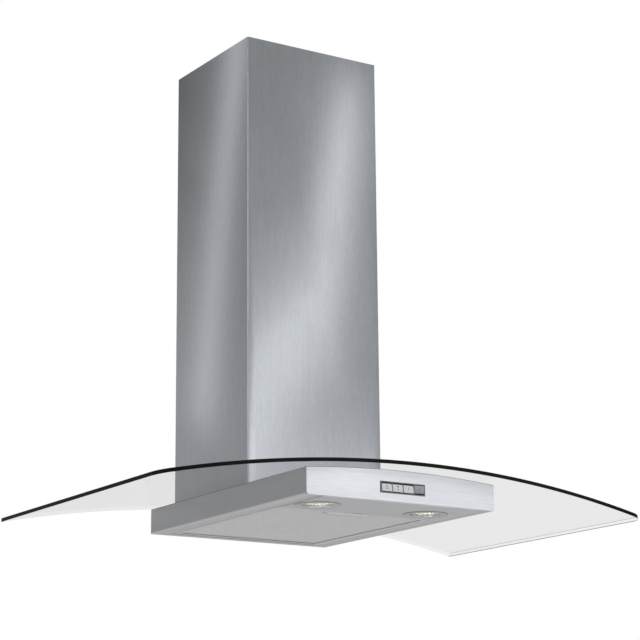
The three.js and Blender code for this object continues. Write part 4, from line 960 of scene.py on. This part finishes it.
def net(name, replaced, low, high, pitch_x, pitch_y, strand):
    """Expanded-metal sheet: rows of diamond gaps whose strands rise and dip in turn."""
    columns = round((high.x - low.x) / pitch_x)
    rows = round((high.y - low.y) / pitch_y)
    step_x = (high.x - low.x) / columns / 2
    step_y = (high.y - low.y) / rows / 2
    relief = (high.z - low.z) * NET_RELIEF
    middle = (low.z + high.z) / 2
    bm = bmesh.new()
    corners = {}

    def corner(i, j):
        if (i, j) not in corners:
            lift = relief if i % 2 else -relief
            x, y = clear_of_pocket(low.x + i * step_x, low.y + j * step_y, low.y)[:2]
            corners[i, j] = bm.verts.new((x, y, middle + lift))
        return corners[i, j]

    for j in range(1, 2 * rows):
        for i in range(1, 2 * columns):
            if (i + j) % 2:
                continue
            x = low.x + i * step_x
            y = low.y + j * step_y
            if clear_of_pocket(x, y, low.y)[2]:
                continue
            around = [corner(i - 1, j), corner(i, j - 1), corner(i + 1, j), corner(i, j + 1)]
            centre = Vector((x, y, middle))
            inner = [bm.verts.new(centre.lerp(v.co, 1 - strand)) for v in around]
            for k in range(4):
                bm.faces.new((around[k - 1], around[k], inner[k], inner[k - 1]))
    loose = [v for v in bm.verts if not v.link_faces]
    bmesh.ops.delete(bm, geom=loose, context="VERTS")
    piece = add_piece(name, bm, "grease_filter", replaced, [MATERIALS["aluminium"]])
    solid = piece.modifiers.new("strand", "SOLIDIFY")
    solid.thickness = STRAND_THICKNESS
    solid.offset = 0.0


def filter_nets():
    """The two outer sheets, and two finer layers between them."""
    for which in ("lower", "upper"):
        node = "filter_mesh_" + which
        low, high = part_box(node)
        net("filter_net_" + which, [node], low, high, *NETS[which])
    lower_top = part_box("filter_mesh_lower")[1].z
    upper_low, upper_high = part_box("filter_mesh_upper")
    layer = (upper_low.z - lower_top) / 3
    for k in (0, 1):
        foot = lower_top + (k + FIRST_LAYER) * layer
        low = Vector((upper_low.x + 1 * MM, upper_low.y + (1 + k) * MM, foot))
        high = Vector((upper_high.x - 1 * MM, upper_high.y - (2 - k) * MM, foot + LAYER_HEIGHT))
        net(f"filter_layer_{k + 1}", [], low, high, *NETS["layer"])


def filter_handle():
    """Rounded plate with a rolled rim round a shallow flat recess, and a bowl behind it."""
    low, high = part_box("filter_handle")
    half_x = (high.x - low.x) / 2 - HANDLE_RIM
    wall = 1.2 * MM
    under = low.z
    top = high.z
    profile = [  # distance beyond the recess's outline, height
        (0.0, under + 1.3 * MM),
        (-0.1 * MM, top - 1.5 * MM),
        (-1.4 * MM, top),
        (HANDLE_RIM, under + 1.2 * MM),
        (HANDLE_RIM, under + 0.5 * MM),
        (HANDLE_RIM - 0.5 * MM, under),
        (-wall + 0.6 * MM, under),
        (-wall, under + 0.5 * MM),
        (-wall - 0.2 * MM, top - wall - 1.5 * MM),
        (-wall - 1.6 * MM, top - wall),
    ]
    loops = []
    for grow, z in profile:
        half_y = POCKET_HALF + grow
        points = stadium((POCKET_X, POCKET_Y), half_x + grow, half_y, half_y - 0.1 * MM, steps=14)
        loops.append([(x, y, z) for x, y in points])
    bm = bmesh.new()
    loft(bm, loops)
    add_piece("filter_handle_look", bm, "grease_filter", ["filter_handle"],
              [HANDLE_PLASTIC])


def latch_spring():
    """Round-wire coil spring, built at its rest length."""
    low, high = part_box("latch_spring")
    middle = (low + high) / 2
    wire = 0.3 * MM
    free = high.y - low.y
    start = Vector((middle.x, low.y + wire, middle.z))
    bm = coil(start, axis=Vector((0, 1, 0)), aside=Vector((1, 0, 0)), length=free - 2 * wire,
              radius=(high.x - low.x) / 2 - wire, wire=wire, turns=6, steps=28, sides=8)
    piece = add_piece("latch_spring_look", bm, "grease_filter", ["latch_spring"],
                      [MATERIALS["spring_steel"]])
    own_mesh(piece)


# ---------------------------------------------------------------- stage and light
FLOOR_Z = -1.805
FLOOR_SIZE = 14.0


def add_floor():
    bm = bmesh.new()
    bmesh.ops.create_grid(bm, x_segments=1, y_segments=1, size=FLOOR_SIZE / 2)
    mesh = bpy.data.meshes.new("floor")
    bm.to_mesh(mesh)
    bm.free()
    floor = bpy.data.objects.new("floor", mesh)
    floor.location = (0, 0, FLOOR_Z)
    shader = Shader("floor_look")
    cloud = shader.noise(3.0, detail=4.0)
    shader.drive(shader.blend(cloud, (0.745, 0.74, 0.745, 1.0), (0.775, 0.77, 0.775, 1.0)), "Base Color")
    shader.dull(cloud, 0.6, 0.7)
    mesh.materials.append(shader.material)
    bpy.context.scene.collection.objects.link(floor)


def add_strip(name, start, end, width, target, radiance):
    """A soft light between two points that faces a target. Radiance 1 is as bright as white."""
    start, end, target = Vector(start), Vector(end), Vector(target)
    middle = (start + end) / 2
    along = (end - start).normalized()
    facing = target - middle
    facing = (facing - along * facing.dot(along)).normalized()
    length = (end - start).length
    data = bpy.data.lights.new(name, "AREA")
    data.shape = "RECTANGLE"
    data.size = width
    data.size_y = length
    data.energy = radiance * math.pi * width * length
    light = bpy.data.objects.new(name, data)
    turn = Matrix((along.cross(-facing), along, -facing)).transposed().to_4x4()
    light.matrix_world = Matrix.Translation(middle) @ turn
    light.visible_camera = False
    bpy.context.scene.collection.objects.link(light)


FRONT_SKY = (  # sine of the elevation, radiance
    (-1.0, 0.50), (-0.2, 0.45), (0.0, 0.45), (0.17, 0.48),
    (0.33, 0.27), (0.45, 0.20), (0.75, 1.10), (1.0, 1.50),
)
BACK_SKY = (
    (-1.0, 0.50), (-0.2, 0.42), (0.0, 0.32), (0.17, 0.50),
    (0.26, 0.26), (0.36, 0.08), (0.75, 0.80), (1.0, 1.50),
)
SKY_PEAK = 1.5
SKY_SEAM = 0.3  # front turns to back while a direction's Y runs from minus to plus this


def sky_gradient(tree, share, stops):
    """Radiance over the height, where 0 is straight down and 1 straight up."""
    ramp = tree.nodes.new("ShaderNodeValToRGB")
    elements = ramp.color_ramp.elements
    while len(elements) < len(stops):
        elements.new(0.5)
    for element, (height, radiance) in zip(elements, stops):
        element.position = (height + 1) / 2
        element.color = shade((1, 1, 1), radiance / SKY_PEAK)
    tree.links.new(share, ramp.inputs[0])
    return ramp.outputs[0]


def add_world():
    """A white background for the camera, and a softly graded grey room that lights the hood."""
    world = bpy.data.worlds.new("studio")
    bpy.context.scene.world = world
    world.use_nodes = True
    tree = world.node_tree
    tree.nodes.clear()
    add = tree.nodes.new
    link = tree.links.new
    coordinates = add("ShaderNodeTexCoord")
    split = add("ShaderNodeSeparateXYZ")
    link(coordinates.outputs["Generated"], split.inputs[0])
    height = add("ShaderNodeMapRange")
    height.inputs["From Min"].default_value = -1.0
    link(split.outputs["Z"], height.inputs["Value"])
    depth = add("ShaderNodeMapRange")
    depth.inputs["From Min"].default_value = -SKY_SEAM
    depth.inputs["From Max"].default_value = SKY_SEAM
    link(split.outputs["Y"], depth.inputs["Value"])
    both = add("ShaderNodeMix")
    both.data_type = "RGBA"
    link(depth.outputs[0], both.inputs[0])
    link(sky_gradient(tree, height.outputs[0], FRONT_SKY), both.inputs[6])
    link(sky_gradient(tree, height.outputs[0], BACK_SKY), both.inputs[7])
    graded = add("ShaderNodeBackground")
    graded.inputs["Strength"].default_value = SKY_PEAK
    link(both.outputs[2], graded.inputs["Color"])
    white = add("ShaderNodeBackground")
    white.inputs["Color"].default_value = (1, 1, 1, 1)
    path = add("ShaderNodeLightPath")
    choice = add("ShaderNodeMixShader")
    link(path.outputs["Is Camera Ray"], choice.inputs[0])
    link(graded.outputs[0], choice.inputs[1])
    link(white.outputs[0], choice.inputs[2])
    output = add("ShaderNodeOutputWorld")
    link(choice.outputs[0], output.inputs["Surface"])


def add_lights():
    add_strip("low_front", (0.02, -1.30, -0.10), (0.85, -1.02, -0.10), 0.26, (0.0, -0.49, -0.235), 0.62)
    add_strip("front_band", (0.58, -0.80, 0.81), (0.10, -0.87, -0.10), 0.10, (0.0, -0.26, 0.18), 1.32)
    add_strip("left_band", (-0.46, 0.06, 0.92), (-0.46, 0.56, 0.06), 0.10, (-0.13, -0.13, 0.22), 0.75)
    add_strip("bend_line", (-1.10, -0.85, 1.0), (-1.10, -0.85, -0.1), 0.3, (-0.13, -0.26, 0.2), 2.5)


# ---------------------------------------------------------------- build
add_camera()
dress_packed_pieces()
glass_canopy()
front_panel()
foam_edge_strip()
for lamp_side in ("left", "right"):
    lamp(lamp_side)
for key_number, mark in enumerate(("lamp", "fan", "step", "dot"), start=1):
    rocker_key(key_number, mark)
filter_nets()
filter_handle()
latch_spring()
add_floor()
add_world()
add_lights()
bpy.context.scene.view_settings.view_transform = "Standard"
